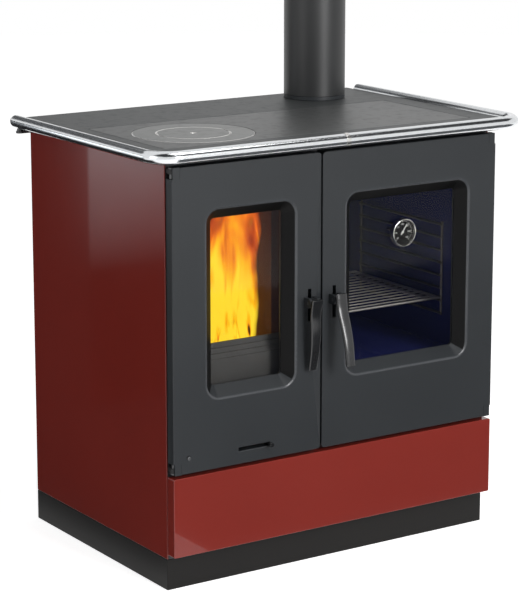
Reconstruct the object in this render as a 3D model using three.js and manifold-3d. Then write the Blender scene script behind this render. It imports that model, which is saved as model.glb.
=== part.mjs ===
// A free-standing wood-burning cookstove: an enamelled steel body on a plinth, a hob with a lift-out
// ring, a chrome rail round it, a glazed firebox door, a glazed oven door with its thermometer, a
// drawer below and a flue at the right rear.
// Millimetres, +Z up, the front towards -Y, the floor at z = 0. Sizes are written about the middle
// of the body, and the finished group is moved so that its origin is the middle of its footprint.
import * as THREE from "three";
import { mergeVertices } from "three/addons/utils/BufferGeometryUtils.js";
import Module from "manifold-3d";

const wasm = await Module();
wasm.setup();

// ---------------------------------------------------------------- driving sizes
const bodyWidth = 764;
const bodyDepth = 524;
const hobHeight = 850;
const flueTop = 1100;

const fitGap = 0.3; // between parts that touch or are fastened together
const cutPast = 2; // how far a cutter runs past the face it cuts
const letIn = 1; // how far one shape of a solid is let into the next

const largeSides = 64; // sides of round shapes, by their size
const pipeSides = 48;
const mediumSides = 24;
const smallSides = 16;
const stemSides = 12;
const wireSides = 8;
const plainCorner = 3; // segments of a small rounded corner
const fineCorner = 6;

const plinthHeight = 62;
const plinthWall = 12;

const panelThickness = 3;
const baseThickness = 6;
const frameThickness = 8;

const doorThickness = 24;
const doorToFrame = 2; // shut gap behind a door
const doorToDrawer = 7;
const doorToHob = 7;
const doorSplitX = -44.5;
const doorSplitGap = 4;
const doorCornerRound = 8;
const doorEdgeChamfer = 4;

const drawerFrontGap = 9; // over the plinth
const drawerFrontHeight = 156;
const drawerFrontCorner = 3;
const drawerBoxRise = 15; // from the bottom of the front to the bottom of the box
const drawerBoxWall = 2;
const drawerBackRoom = 86; // between the box and the back of the body
const drawerBoxHeight = 112;
const drawerBoxSideRoom = 50; // from the body's side to the box
const drawerTravelRoom = 3; // between the box and the edges of its opening

const windowSill = 137; // from the door's bottom edge to the window
const windowHead = 85; // from the window to the door's top edge
const windowCorner = 30;
const windowTaper = 22;
const windowTaperDepth = 20;
const fireWindowOutside = 74; // from the body's side to the window
const fireWindowInside = 59.5; // from the window to the split
const ovenWindowInside = 57.5;
const ovenWindowOutside = 67;
const glassThickness = 4;
const glassSeat = 12; // how far the glass passes the window on each side
const clampWidth = 16;
const clampThickness = 3;
const clampCover = 5; // how far the clamp frame passes the glass

const hingeInset = 7; // pivot from the door's outer edge
const hingeForward = 14; // pivot from the frame's front face
const hingePinRadius = 4;
const hingePinInDoor = 26;
const hingeHeadRadius = 6.5;
const hingeHeadHeight = 3;
const knuckleRadius = 7;
const knuckleHeight = 9;
const notchHeight = 22;
const notchRoom = 4; // round the knuckle

const fireHandleFromSplit = 28; // lever centre from the gap between the doors
const ovenHandleFromSplit = 30;
const pivotRise = 299; // over the door's bottom edge
const pivotForward = 12; // lever pivot from the door's front face
const leverLength = 134;
const leverWidth = 22;
const leverThickness = 7.5;
const leverHubRadius = 9.5;
const leverHubWidth = 12;
const leverHeadRise = 8; // top of the lever over the pivot
const leverForwardTop = 15; // lever's middle line in front of the pivot, at the top
const leverForwardNeck = 13.5; // level with the pivot
const leverForwardWaist = 9;
const leverForwardBelly = 9.5;
const leverForwardShin = 7;
const leverBackFoot = 1; // behind the pivot, at the bottom
const leverWaistDown = 25; // under the pivot
const leverBellyDown = 60;
const leverShinDown = 95;
const leverCurveSteps = 3;
const neckAbovePivot = 5;
const neckBelowPivot = 6;
const cheekThickness = 6.5;
const handlePinRadius = 3;
const tongueWidth = 5;
const tongueAbovePivot = 3.6;
const tongueBelowPivot = 8.4;
const tongueLength = 52;
const latchSlotWidth = 8;
const latchSlotAbove = 25; // from the lever's pivot
const latchSlotBelow = 39;
const latchPocketWidth = 14;
const latchPocketAbove = 15;
const latchPocketBelow = 45;
const ovenHandleRestAngle = 20; // degrees pulled out

const airSlotRise = 29; // over the door's bottom edge
const airSlotInside = 119.5; // from the slot's right end to the split
const airSlotLength = 72;
const airSlotWidth = 7;
const airPlateLength = 84;
const airPlateHeight = 20;
const airPlateThickness = 3;
const airStemRadius = 2.6;
const airKnobRadius = 5;
const airKnobLength = 7;
const airKnobStandOff = 5;

const screwInset = 34; // from the door's left edge
const screwRise = 30;
const screwRadius = 4;
const screwHeadRise = 1.5;
const screwDepth = 6;

const hobThickness = 20;
const hobOverhang = 26; // past the body's side
const hobFrontReach = 38; // hob's front edge from the frame's front face
const hobCorner = 34;
const plateThickness = 12;
const plateLeftInset = 44; // from the hob's edge
const plateRightInset = 54;
const plateFrontInset = 60; // from the hob's front edge
const plateDepth = 296;
const plateLedge = 10;
const plateCorner = 6;
const ringFromPlateLeft = 147;
const ringFromPlateFront = 141;
const ringRadius = 120;
const ringLedge = 7;
const ringStep = 6; // height of the ring's and the disc's hanging lip
const discRadius = 72;
const discLedge = 6;
const liftNotchRadius = 5;

const railRadius = 12.5;
const railGap = 3.5; // between the rail and the hob's edge
const railDrop = 3; // rail's middle line under the hob's top face
const railBend = 46;
const railJointX = -10;
const railRearInset = 8; // rail's end from the back of the body
const bendSteps = 7;
const domeSteps = 3;
const sleeveLength = 9;
const sleeveThickness = 0.8;
const bracketArmHeight = 5;
const bracketReach = 40; // from the post in under the hob
const bracketPostRadius = 6;
const bracketFootRadius = 8;
const spacerRadius = 5;
const spacerDrop = 2; // under the rail's middle line
const sideBracketFromBack = 36; // bracket places along the rail
const sideBracketFromFront = 72;
const frontBracketInset = 132;

const flueFromSide = 120;
const flueFromBack = 82;
const flueRadius = 65.5;
const flueWall = 2;
const collarRadius = 65.5; // no wider than the pipe, as it shows
const collarHeight = 8;
const spigotWall = 5;
const spigotHeight = 26;

const smokewayDepth = 106; // behind the firebox and the oven
const shellFromSide = 46;
const shellFromSplit = 43.5;
const shellWall = 4;
const shellRise = 12; // over the door's bottom edge
const smokePortDepth = 240;
const smokePortRise = 7; // over the baffle
const grateLedgeWidth = 14;
const grateLedgeHeight = 10;
const ashPitHeight = 84;
const grateThickness = 14;
const grateSlots = 7;
const grateSlotWidth = 9;
const grateRim = 26;
const brickThickness = 24;
const brickOverWindow = 7;
const brickFrontInset = 34; // behind the frame's rear face, clear of the log guard
const baffleThickness = 18;
const baffleDepth = 250;
const guardThickness = 16;
const guardRise = 91; // over the window's lower edge
const guardSteps = 3;
const guardStepHeight = 10;
const guardStepDepth = 3.5;

const ashPanHeight = 62;
const ashPanWall = 2;
const ashPanSideRoom = 4;
const ashPanBackRoom = 50;
const ashPanFrontInset = 8;

const cavityFromSplit = 48.5;
const cavityFromSide = 40;
const cavityWall = 3;
const cavityUnderWindow = 5;
const cavityOverWindow = 18;
const openingRim = 4; // how far the frame's opening stays inside the chamber behind it

const supportWire = 2.5;
const supportFromBottom = 69.5;
const supportFromTop = 134;
const supportRungs = 8;
const supportFromFront = 78;
const supportFromRear = 50;
const rackWire = 3;
const rackCrossWire = 1.8;
const rackCrossCount = 13;
const rackBearerInset = 28; // bars under the cross wires, from the rack's sides
const rackBackRoom = 36;
const rackRung = 1; // which rung carries the rack, from the lowest

const runnerWidth = 55;
const runnerThickness = 4;
const runnerFlange = 40;

const gaugeFromWindowSide = 154;
const gaugeFromWindowTop = 97;
const gaugeRadius = 28.5;
const gaugeDepth = 13;
const gaugeRim = 3;
const gaugeFloor = 3;
const gaugeStemRadius = 3.5;
const gaugeStemLength = 46;
const dialThickness = 1;
const lensThickness = 1.5;
const needleThickness = 1;
const needleLength = 19;
const needleTail = 6;
const needleWidth = 2.4;
const needleHubRadius = 2.6;
const needleAngle = 35; // degrees from upright, towards the right

// ---------------------------------------------------------------- places that follow
const halfWidth = bodyWidth / 2;
const frameFront = -bodyDepth / 2;
const frameRear = frameFront + frameThickness;
const bodyBack = bodyDepth / 2;
const innerHalfWidth = halfWidth - panelThickness - fitGap;
const hobUnderside = hobHeight - hobThickness;
const bodyTop = hobUnderside - fitGap;
const bodyBottom = plinthHeight + fitGap;
const baseTop = bodyBottom + baseThickness;

const doorRear = frameFront - doorToFrame;
const doorFront = doorRear - doorThickness;
const drawerFrontBottom = plinthHeight + drawerFrontGap;
const drawerFrontTop = drawerFrontBottom + drawerFrontHeight;
const drawerBoxBottom = drawerFrontBottom + drawerBoxRise;
const drawerBoxHalf = halfWidth - drawerBoxSideRoom;
const doorBottom = drawerFrontTop + doorToDrawer;
const doorTop = hobUnderside - doorToHob;
const glassFront = doorFront + windowTaperDepth;
const windowBottom = doorBottom + windowSill;
const windowTop = doorTop - windowHead;
const fireWindowLeft = -halfWidth + fireWindowOutside;
const fireWindowRight = doorSplitX - fireWindowInside;
const ovenWindowLeft = doorSplitX + ovenWindowInside;
const ovenWindowRight = halfWidth - ovenWindowOutside;
const pivotY = doorFront - pivotForward;
const pivotHeight = doorBottom + pivotRise;
const hingeY = frameFront - hingeForward;
const lowerKnuckle = doorBottom + hingeHeadHeight + 2 * fitGap;
const upperKnuckle = doorTop - hingeHeadHeight - 2 * fitGap - knuckleHeight;
const fireHandleX = doorSplitX - fireHandleFromSplit;
const ovenHandleX = doorSplitX + ovenHandleFromSplit;

const hobFront = frameFront - hobFrontReach;
const hobHalfWidth = halfWidth + hobOverhang;
const railX = hobHalfWidth + railGap + railRadius;
const railY = hobFront - railGap - railRadius;
const railZ = hobHeight - railDrop;
const railRear = bodyBack - railRearInset;

const plateFront = hobFront + plateFrontInset;
const plateLeft = -hobHalfWidth + plateLeftInset;
const plateRight = hobHalfWidth - plateRightInset;
const ringX = plateLeft + ringFromPlateLeft;
const ringY = plateFront + ringFromPlateFront;
const flueX = halfWidth - flueFromSide;
const flueY = bodyBack - flueFromBack;
const collarInner = flueRadius - flueWall - fitGap - spigotWall;

const shellFront = frameRear + fitGap;
const shellBack = bodyBack - smokewayDepth;
const shellLeft = -halfWidth + shellFromSide;
const shellRight = doorSplitX - shellFromSplit;
const shellBottom = doorBottom + shellRise;
const grateLedgeTop = shellBottom + ashPitHeight;
const grateBottom = grateLedgeTop + fitGap;
const grateTop = grateBottom + grateThickness;
const brickBottom = grateTop + fitGap;
const brickTop = windowTop + brickOverWindow;
const baffleTop = brickTop + fitGap + baffleThickness;
const cavityLeft = doorSplitX + cavityFromSplit;
const cavityRight = halfWidth - cavityFromSide;
const cavityBottom = windowBottom - cavityUnderWindow;
const cavityTop = windowTop + cavityOverWindow;
const supportFront = shellFront + supportFromFront;
const supportRear = shellBack - supportFromRear;
const supportBottom = cavityBottom + supportFromBottom;
const supportTop = cavityTop - supportFromTop;

// ---------------------------------------------------------------- finishes
const finish = (name, color, roughness, metalness) =>
  new THREE.MeshStandardMaterial({ name, color, roughness, metalness });
const redEnamel = finish("red_enamel", 0x6b1e19, 0.18, 0);
const charcoal = finish("charcoal_enamel", 0x3c3e40, 0.45, 0.1);
const plinthGrey = finish("plinth_enamel", 0x38383a, 0.5, 0.1);
const castIron = finish("cast_iron", 0x3a3a3b, 0.75, 0.3);
const hobSteel = finish("hob_steel", 0x777a7a, 0.38, 0.8);
const darkSteel = finish("dark_steel", 0x34373a, 0.5, 0.5);
const chrome = finish("chrome", 0xd8dadc, 0.08, 1);
const zincSteel = finish("zinc_steel", 0x9a9c9c, 0.4, 0.9);
const ovenEnamel = finish("oven_enamel", 0x101428, 0.2, 0);
const firebrick = finish("firebrick", 0x9a7a58, 0.95, 0);
const doorGlass = finish("door_glass", 0x202a38, 0.05, 0);
const blackHandle = finish("black_handle", 0x151516, 0.3, 0.2);
const dialBlack = finish("dial_black", 0x141416, 0.4, 0);
const needleWhite = finish("needle_white", 0xe8e8e6, 0.4, 0);

// ---------------------------------------------------------------- shape helpers
const radians = THREE.MathUtils.degToRad;

const box = (x0, x1, y0, y1, z0, z1) =>
  new THREE.BoxGeometry(x1 - x0, y1 - y0, z1 - z0).translate(
    (x0 + x1) / 2,
    (y0 + y1) / 2,
    (z0 + z1) / 2,
  );

// A cylinder between two heights.
const upright = (x, y, radius, z0, z1, sides = mediumSides) =>
  new THREE.CylinderGeometry(radius, radius, z1 - z0, sides)
    .rotateX(Math.PI / 2)
    .translate(x, y, (z0 + z1) / 2);

// A cylinder that runs front to back.
const alongY = (x, z, radius, y0, y1, sides = mediumSides) =>
  new THREE.CylinderGeometry(radius, radius, y1 - y0, sides).translate(x, (y0 + y1) / 2, z);

// A cylinder that runs left to right.
const alongX = (y, z, radius, x0, x1, sides = mediumSides) =>
  new THREE.CylinderGeometry(radius, radius, x1 - x0, sides)
    .rotateZ(Math.PI / 2)
    .translate((x0 + x1) / 2, y, z);

function roundedRectangle(left, right, bottom, top, radius) {
  const shape = new THREE.Shape();
  shape.moveTo(left + radius, bottom);
  shape.lineTo(right - radius, bottom);
  shape.absarc(right - radius, bottom + radius, radius, -Math.PI / 2, 0);
  shape.lineTo(right, top - radius);
  shape.absarc(right - radius, top - radius, radius, 0, Math.PI / 2);
  shape.lineTo(left + radius, top);
  shape.absarc(left + radius, top - radius, radius, Math.PI / 2, Math.PI);
  shape.lineTo(left, bottom + radius);
  shape.absarc(left + radius, bottom + radius, radius, Math.PI, Math.PI * 1.5);
  return shape;
}

function polygon(points) {
  return new THREE.Shape(points.map(([x, y]) => new THREE.Vector2(x, y)));
}

// An outline seen from the front, from its rear face to its front face.
const standing = (shape, rear, front, curveSegments = plainCorner) =>
  new THREE.ExtrudeGeometry(shape, { depth: rear - front, bevelEnabled: false, curveSegments })
    .rotateX(Math.PI / 2)
    .translate(0, rear, 0);

// An outline seen from above, between two heights.
const lying = (shape, z0, z1, curveSegments = plainCorner) =>
  new THREE.ExtrudeGeometry(shape, { depth: z1 - z0, bevelEnabled: false, curveSegments }).translate(
    0,
    0,
    z0,
  );

// An outline in the plane of front-to-back and height, from x0 to x1.
const sideways = (shape, x0, x1, curveSegments = plainCorner) =>
  new THREE.ExtrudeGeometry(shape, { depth: x1 - x0, bevelEnabled: false, curveSegments })
    .rotateX(Math.PI / 2)
    .rotateZ(Math.PI / 2)
    .translate(x0, 0, 0);

function toManifold(geometry) {
  const bare = geometry.clone();
  for (const name of ["normal", "uv"]) bare.deleteAttribute(name);
  const merged = mergeVertices(bare, 1e-4);
  return new wasm.Manifold(
    new wasm.Mesh({
      numProp: 3,
      vertProperties: new Float32Array(merged.attributes.position.array),
      triVerts: new Uint32Array(merged.index.array),
    }),
  );
}

function toGeometry(manifold) {
  const mesh = manifold.getMesh();
  const geometry = new THREE.BufferGeometry();
  geometry.setAttribute("position", new THREE.BufferAttribute(new Float32Array(mesh.vertProperties), 3));
  geometry.setIndex(new THREE.BufferAttribute(new Uint32Array(mesh.triVerts), 1));
  geometry.computeVertexNormals();
  return geometry;
}

const joined = (...shapes) => toGeometry(shapes.map(toManifold).reduce((sum, next) => sum.add(next)));

const cut = (shape, ...cutters) =>
  toGeometry(cutters.map(toManifold).reduce((rest, cutter) => rest.subtract(cutter), toManifold(shape)));

// A round bar along level stations { point, radius }, closed flat at both ends.
function roundBar(stations, sides) {
  const positions = [];
  const index = [];
  stations.forEach(({ point, radius }, row) => {
    const before = stations[Math.max(row - 1, 0)].point;
    const after = stations[Math.min(row + 1, stations.length - 1)].point;
    const ahead = new THREE.Vector3().subVectors(after, before).normalize();
    const across = ahead.cross(new THREE.Vector3(0, 0, 1));
    for (let side = 0; side < sides; side++) {
      const turn = (2 * Math.PI * side) / sides;
      const reach = radius * Math.cos(turn);
      positions.push(
        point.x + across.x * reach,
        point.y + across.y * reach,
        point.z + radius * Math.sin(turn),
      );
      const next = (side + 1) % sides;
      const here = row * sides;
      if (row < stations.length - 1) {
        index.push(here + side, here + sides + side, here + next);
        index.push(here + next, here + sides + side, here + sides + next);
      }
    }
  });
  const last = (stations.length - 1) * sides;
  for (let side = 1; side < sides - 1; side++) {
    index.push(0, side, side + 1);
    index.push(last, last + side + 1, last + side);
  }
  const bar = new THREE.BufferGeometry();
  bar.setAttribute("position", new THREE.Float32BufferAttribute(positions, 3));
  bar.setIndex(index);
  bar.computeVertexNormals();
  return bar;
}

const stove = new THREE.Group();
stove.name = "wood_cookstove";

function add(name, geometry, material, group = stove) {
  const mesh = new THREE.Mesh(geometry, material);
  mesh.name = name;
  group.add(mesh);
  return mesh;
}

// ---------------------------------------------------------------- plinth and body
function addPlinth() {
  const outer = box(-halfWidth, halfWidth, frameFront, bodyBack, 0, plinthHeight);
  const inner = box(
    -halfWidth + plinthWall,
    halfWidth - plinthWall,
    frameFront + plinthWall,
    bodyBack - plinthWall,
    -cutPast,
    plinthHeight + cutPast,
  );
  add("plinth", cut(outer, inner), plinthGrey);
}

function addPanels() {
  const back = bodyBack - panelThickness - fitGap;
  add("base_panel", box(-innerHalfWidth, innerHalfWidth, frameFront, back, bodyBottom, baseTop), darkSteel);
  const leftPanel = box(-halfWidth, -halfWidth + panelThickness, frameFront, bodyBack, bodyBottom, bodyTop);
  add("left_side_panel", leftPanel, redEnamel);
  const rightPanel = box(halfWidth - panelThickness, halfWidth, frameFront, bodyBack, bodyBottom, bodyTop);
  add("right_side_panel", rightPanel, redEnamel);
  const backPanel = box(-innerHalfWidth, innerHalfWidth, back + fitGap, bodyBack, bodyBottom, bodyTop);
  add("back_panel", backPanel, darkSteel);
}

// The fixed hinge eyes beside the doors' corners: side is -1 on the left and 1 on the right.
function knuckle(side, bottom) {
  const x = side * (halfWidth - hingeInset);
  const top = bottom + knuckleHeight;
  const armInside = side * (halfWidth - hingeInset - knuckleRadius);
  const armOutside = side * innerHalfWidth;
  const arm = box(
    Math.min(armInside, armOutside),
    Math.max(armInside, armOutside),
    hingeY,
    frameFront + letIn,
    bottom,
    top,
  );
  return joined(arm, upright(x, hingeY, knuckleRadius, bottom, top));
}

function addFrontFrame() {
  const bottom = baseTop + fitGap;
  const plate = box(-innerHalfWidth, innerHalfWidth, frameFront, frameRear, bottom, bodyTop);
  const depths = [frameFront - cutPast, frameRear + cutPast];
  const fireOpening = box(
    shellLeft + openingRim,
    shellRight - openingRim,
    ...depths,
    shellBottom + openingRim,
    brickTop + openingRim,
  );
  const ovenOpening = box(
    cavityLeft + cavityWall,
    cavityRight - cavityWall,
    ...depths,
    cavityBottom + cavityWall,
    cavityTop - cavityWall,
  );
  const drawerOpening = box(
    -halfWidth + drawerBoxSideRoom - drawerTravelRoom,
    halfWidth - drawerBoxSideRoom + drawerTravelRoom,
    ...depths,
    drawerBoxBottom - drawerTravelRoom,
    drawerBoxBottom + drawerBoxHeight + drawerTravelRoom,
  );
  const pockets = [fireHandleX, ovenHandleX].map((x) =>
    box(
      x - latchPocketWidth / 2,
      x + latchPocketWidth / 2,
      ...depths,
      pivotHeight - latchPocketBelow,
      pivotHeight + latchPocketAbove,
    ),
  );
  const eyes = [-1, 1].flatMap((side) => [knuckle(side, lowerKnuckle), knuckle(side, upperKnuckle)]);
  const bores = [-1, 1].map((side) =>
    upright(side * (halfWidth - hingeInset), hingeY, hingePinRadius + fitGap, bottom, bodyTop),
  );
  add(
    "front_frame",
    cut(joined(plate, ...eyes), fireOpening, ovenOpening, drawerOpening, ...pockets, ...bores),
    castIron,
  );
}

// ---------------------------------------------------------------- drawer and its runners
function addDrawer() {
  const front = roundedRectangle(
    -halfWidth,
    halfWidth,
    drawerFrontBottom,
    drawerFrontTop,
    drawerFrontCorner,
  );
  add("drawer_front", standing(front, doorRear, doorFront), redEnamel);
  const boxFront = doorRear + fitGap;
  const boxBack = bodyBack - drawerBackRoom;
  const outer = box(
    -drawerBoxHalf,
    drawerBoxHalf,
    boxFront,
    boxBack,
    drawerBoxBottom,
    drawerBoxBottom + drawerBoxHeight,
  );
  const inner = box(
    -drawerBoxHalf + drawerBoxWall,
    drawerBoxHalf - drawerBoxWall,
    boxFront + drawerBoxWall,
    boxBack - drawerBoxWall,
    drawerBoxBottom + drawerBoxWall,
    drawerBoxBottom + drawerBoxHeight + cutPast,
  );
  add("drawer_box", cut(outer, inner), darkSteel);
}

function addRunners() {
  const runnerTop = drawerBoxBottom - fitGap;
  const front = frameRear + fitGap;
  const back = bodyBack - panelThickness - 2 * fitGap;
  for (const side of [-1, 1]) {
    const outside = side * (innerHalfWidth - fitGap);
    const inside = outside - side * runnerWidth;
    const shelf = box(
      Math.min(outside, inside),
      Math.max(outside, inside),
      front,
      back,
      runnerTop - runnerThickness,
      runnerTop,
    );
    const flangeInside = outside - side * runnerThickness;
    const flange = box(
      Math.min(outside, flangeInside),
      Math.max(outside, flangeInside),
      front,
      back,
      runnerTop - runnerThickness,
      runnerTop + runnerFlange,
    );
    add(side < 0 ? "drawer_runner_left" : "drawer_runner_right", joined(shelf, flange), zincSteel);
  }
}

// ---------------------------------------------------------------- firebox
function addFirebox() {
  const innerLeft = shellLeft + shellWall;
  const innerRight = shellRight - shellWall;
  const shellTop = hobUnderside - fitGap;
  const outer = box(shellLeft, shellRight, shellFront, shellBack, shellBottom, shellTop);
  const chamber = box(
    innerLeft,
    innerRight,
    shellFront - cutPast,
    shellBack - shellWall,
    shellBottom + shellWall,
    shellTop + cutPast,
  );
  const smokePort = box(
    innerRight - cutPast,
    shellRight + cutPast,
    shellBack - shellWall - smokePortDepth,
    shellBack - shellWall,
    baffleTop + smokePortRise,
    shellTop + cutPast,
  );
  const ledges = [
    [innerLeft - letIn, innerLeft + grateLedgeWidth],
    [innerRight - grateLedgeWidth, innerRight + letIn],
  ].map(([x0, x1]) =>
    box(x0, x1, shellFront, shellBack - letIn, grateLedgeTop - grateLedgeHeight, grateLedgeTop),
  );
  add("firebox_shell", joined(cut(outer, chamber, smokePort), ...ledges), castIron);

  const left = innerLeft + fitGap;
  const right = innerRight - fitGap;
  const back = shellBack - shellWall - fitGap;
  const grate = box(left, right, shellFront, back, grateBottom, grateTop);
  const slotPitch = (right - left - 2 * grateRim) / grateSlots;
  const slots = Array.from({ length: grateSlots }, (_, i) => {
    const slotLeft = left + grateRim + slotPitch * i + (slotPitch - grateSlotWidth) / 2;
    return box(
      slotLeft,
      slotLeft + grateSlotWidth,
      shellFront + grateRim,
      back - grateRim,
      grateBottom - cutPast,
      grateTop + cutPast,
    );
  });
  add("fire_grate", cut(grate, ...slots), castIron);

  const brickFront = shellFront + brickFrontInset;
  add(
    "firebrick_left",
    box(left, left + brickThickness, brickFront, back, brickBottom, brickTop),
    firebrick,
  );
  add(
    "firebrick_right",
    box(right - brickThickness, right, brickFront, back, brickBottom, brickTop),
    firebrick,
  );
  const backBrick = box(
    left + brickThickness + fitGap,
    right - brickThickness - fitGap,
    back - brickThickness,
    back,
    brickBottom,
    brickTop,
  );
  add("firebrick_back", backBrick, firebrick);
  const baffle = box(left, right, back - baffleDepth, back, brickTop + fitGap, baffleTop);
  add("smoke_baffle", baffle, firebrick);
  addLogGuard(left, right);
  addAshPan(innerLeft, innerRight);
}

// A cast bar across the foot of the window, whose top steps back in narrow ribs.
function addLogGuard(left, right) {
  const rear = brickFrontInset + shellFront - fitGap;
  const front = rear - guardThickness;
  const guardTop = windowBottom + guardRise;
  const outline = [[rear, brickBottom], [rear, guardTop]];
  for (let step = guardSteps; step > 0; step--) {
    const y = front + guardStepDepth * step;
    const z = guardTop - guardStepHeight * (guardSteps - step);
    outline.push([y, z], [y, z - guardStepHeight]);
  }
  outline.push([front, guardTop - guardStepHeight * guardSteps], [front, brickBottom]);
  add("log_guard", sideways(polygon(outline.reverse()), left, right), castIron);
}

function addAshPan(innerLeft, innerRight) {
  const left = innerLeft + ashPanSideRoom;
  const right = innerRight - ashPanSideRoom;
  const front = shellFront + ashPanFrontInset;
  const back = shellBack - ashPanBackRoom;
  const bottom = shellBottom + shellWall + fitGap;
  const outer = box(left, right, front, back, bottom, bottom + ashPanHeight);
  const inner = box(
    left + ashPanWall,
    right - ashPanWall,
    front + ashPanWall,
    back - ashPanWall,
    bottom + ashPanWall,
    bottom + ashPanHeight + cutPast,
  );
  add("ash_pan", cut(outer, inner), zincSteel);
}

// ---------------------------------------------------------------- oven
function addOven() {
  const outer = box(cavityLeft, cavityRight, shellFront, shellBack, cavityBottom, cavityTop);
  const inner = box(
    cavityLeft + cavityWall,
    cavityRight - cavityWall,
    shellFront - cutPast,
    shellBack - cavityWall,
    cavityBottom + cavityWall,
    cavityTop - cavityWall,
  );
  add("oven_cavity", cut(outer, inner), ovenEnamel);
  const left = cavityLeft + cavityWall + fitGap;
  const right = cavityRight - cavityWall - fitGap;
  add("rack_support_left", rackSupport(left, 1), chrome);
  add("rack_support_right", rackSupport(right, -1), chrome);
  addRack(left, right);
}

const rungHeight = (i) => supportBottom + ((supportTop - supportBottom) * i) / (supportRungs - 1);

// A ladder of wire on the oven's side: two uprights against the wall and, on their inner sides, the
// rungs that carry the rack. inwards is 1 or -1, away from the wall.
function rackSupport(wall, inwards) {
  const uprightX = wall + inwards * supportWire;
  const rungX = uprightX + inwards * (2 * supportWire - letIn);
  const uprights = [supportFront, supportRear].map((y) =>
    upright(
      uprightX,
      y,
      supportWire,
      supportBottom - 2 * supportWire,
      supportTop + 2 * supportWire,
      wireSides,
    ),
  );
  const rungs = Array.from({ length: supportRungs }, (_, i) =>
    alongY(
      rungX,
      rungHeight(i),
      supportWire,
      supportFront - supportWire,
      supportRear + supportWire,
      wireSides,
    ),
  );
  return joined(...uprights, ...rungs);
}

function addRack(cavityInnerLeft, cavityInnerRight) {
  const sideRoom = 2 * supportWire + fitGap + rackWire;
  const left = cavityInnerLeft + sideRoom;
  const right = cavityInnerRight - sideRoom;
  const front = supportFront;
  const back = shellBack - rackBackRoom;
  const z = rungHeight(rackRung) + supportWire + fitGap + rackWire;
  const pitch = (back - front) / (rackCrossCount + 1);
  const bars = [left, left + rackBearerInset, right - rackBearerInset, right].map((x) =>
    alongY(x, z, rackWire, front, back, wireSides),
  );
  const rods = Array.from({ length: rackCrossCount + 2 }, (_, i) => {
    const onRim = i === 0 || i === rackCrossCount + 1;
    const past = onRim ? rackWire : 0;
    const radius = onRim ? rackWire : rackCrossWire;
    return alongX(front + pitch * i, z, radius, left - past, right + past, wireSides);
  });
  add("oven_rack", joined(...bars, ...rods), chrome);
}

// ---------------------------------------------------------------- hob
function addHob() {
  const outline = new THREE.Shape();
  outline.moveTo(-hobHalfWidth, bodyBack);
  outline.lineTo(-hobHalfWidth, hobFront + hobCorner);
  outline.absarc(-hobHalfWidth + hobCorner, hobFront + hobCorner, hobCorner, Math.PI, Math.PI * 1.5);
  outline.absarc(hobHalfWidth - hobCorner, hobFront + hobCorner, hobCorner, Math.PI * 1.5, Math.PI * 2);
  outline.lineTo(hobHalfWidth, bodyBack);
  const plateBack = plateFront + plateDepth;
  const seatTop = hobHeight - plateThickness - fitGap;
  const seat = roundedRectangle(
    plateLeft - fitGap,
    plateRight + fitGap,
    plateFront - fitGap,
    plateBack + fitGap,
    plateCorner,
  );
  const through = roundedRectangle(
    plateLeft + plateLedge,
    plateRight - plateLedge,
    plateFront + plateLedge,
    plateBack - plateLedge,
    plateCorner,
  );
  const collarBore = upright(
    flueX,
    flueY,
    collarInner,
    hobUnderside - cutPast,
    hobHeight + cutPast,
    pipeSides,
  );
  add(
    "hob_frame",
    cut(
      lying(outline, hobUnderside, hobHeight, fineCorner),
      lying(seat, seatTop, hobHeight + cutPast),
      lying(through, hobUnderside - cutPast, hobHeight),
      collarBore,
    ),
    hobSteel,
  );

  const plateBottom = hobHeight - plateThickness;
  const lipBottom = hobHeight - ringStep;
  const plateOutline = roundedRectangle(plateLeft, plateRight, plateFront, plateBack, plateCorner);
  const around = (radius, z0, z1, sides) => upright(ringX, ringY, radius, z0, z1, sides);
  add(
    "cooking_plate",
    cut(
      lying(plateOutline, plateBottom, hobHeight),
      around(ringRadius + fitGap, lipBottom - fitGap, hobHeight + cutPast, largeSides),
      around(ringRadius - ringLedge, plateBottom - cutPast, hobHeight, largeSides),
    ),
    hobSteel,
  );

  const ring = joined(
    around(ringRadius, lipBottom, hobHeight, largeSides),
    around(ringRadius - ringLedge - fitGap, plateBottom, hobHeight, largeSides),
  );
  add(
    "hob_ring",
    cut(
      ring,
      around(discRadius + fitGap, lipBottom - fitGap, hobHeight + cutPast, pipeSides),
      around(discRadius - discLedge, plateBottom - cutPast, hobHeight, pipeSides),
    ),
    hobSteel,
  );
  const disc = joined(
    around(discRadius, lipBottom, hobHeight, pipeSides),
    around(discRadius - discLedge - fitGap, plateBottom, hobHeight, pipeSides),
  );
  add("hob_disc", cut(disc, around(liftNotchRadius, lipBottom, hobHeight + cutPast, stemSides)), hobSteel);
}

// ---------------------------------------------------------------- flue
function addFlue() {
  const base = hobHeight + fitGap;
  const spigotTop = base + collarHeight + spigotHeight;
  const around = (radius, z0, z1) => upright(flueX, flueY, radius, z0, z1, pipeSides);
  const collar = joined(
    around(collarRadius, base, base + collarHeight),
    around(flueRadius - flueWall - fitGap, base, spigotTop),
  );
  add("flue_collar", cut(collar, around(collarInner, base - cutPast, spigotTop + cutPast)), darkSteel);
  const pipeBottom = base + collarHeight + fitGap;
  add(
    "flue_pipe",
    cut(
      around(flueRadius, pipeBottom, flueTop),
      around(flueRadius - flueWall, pipeBottom - cutPast, flueTop + cutPast),
    ),
    darkSteel,
  );
}

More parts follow.
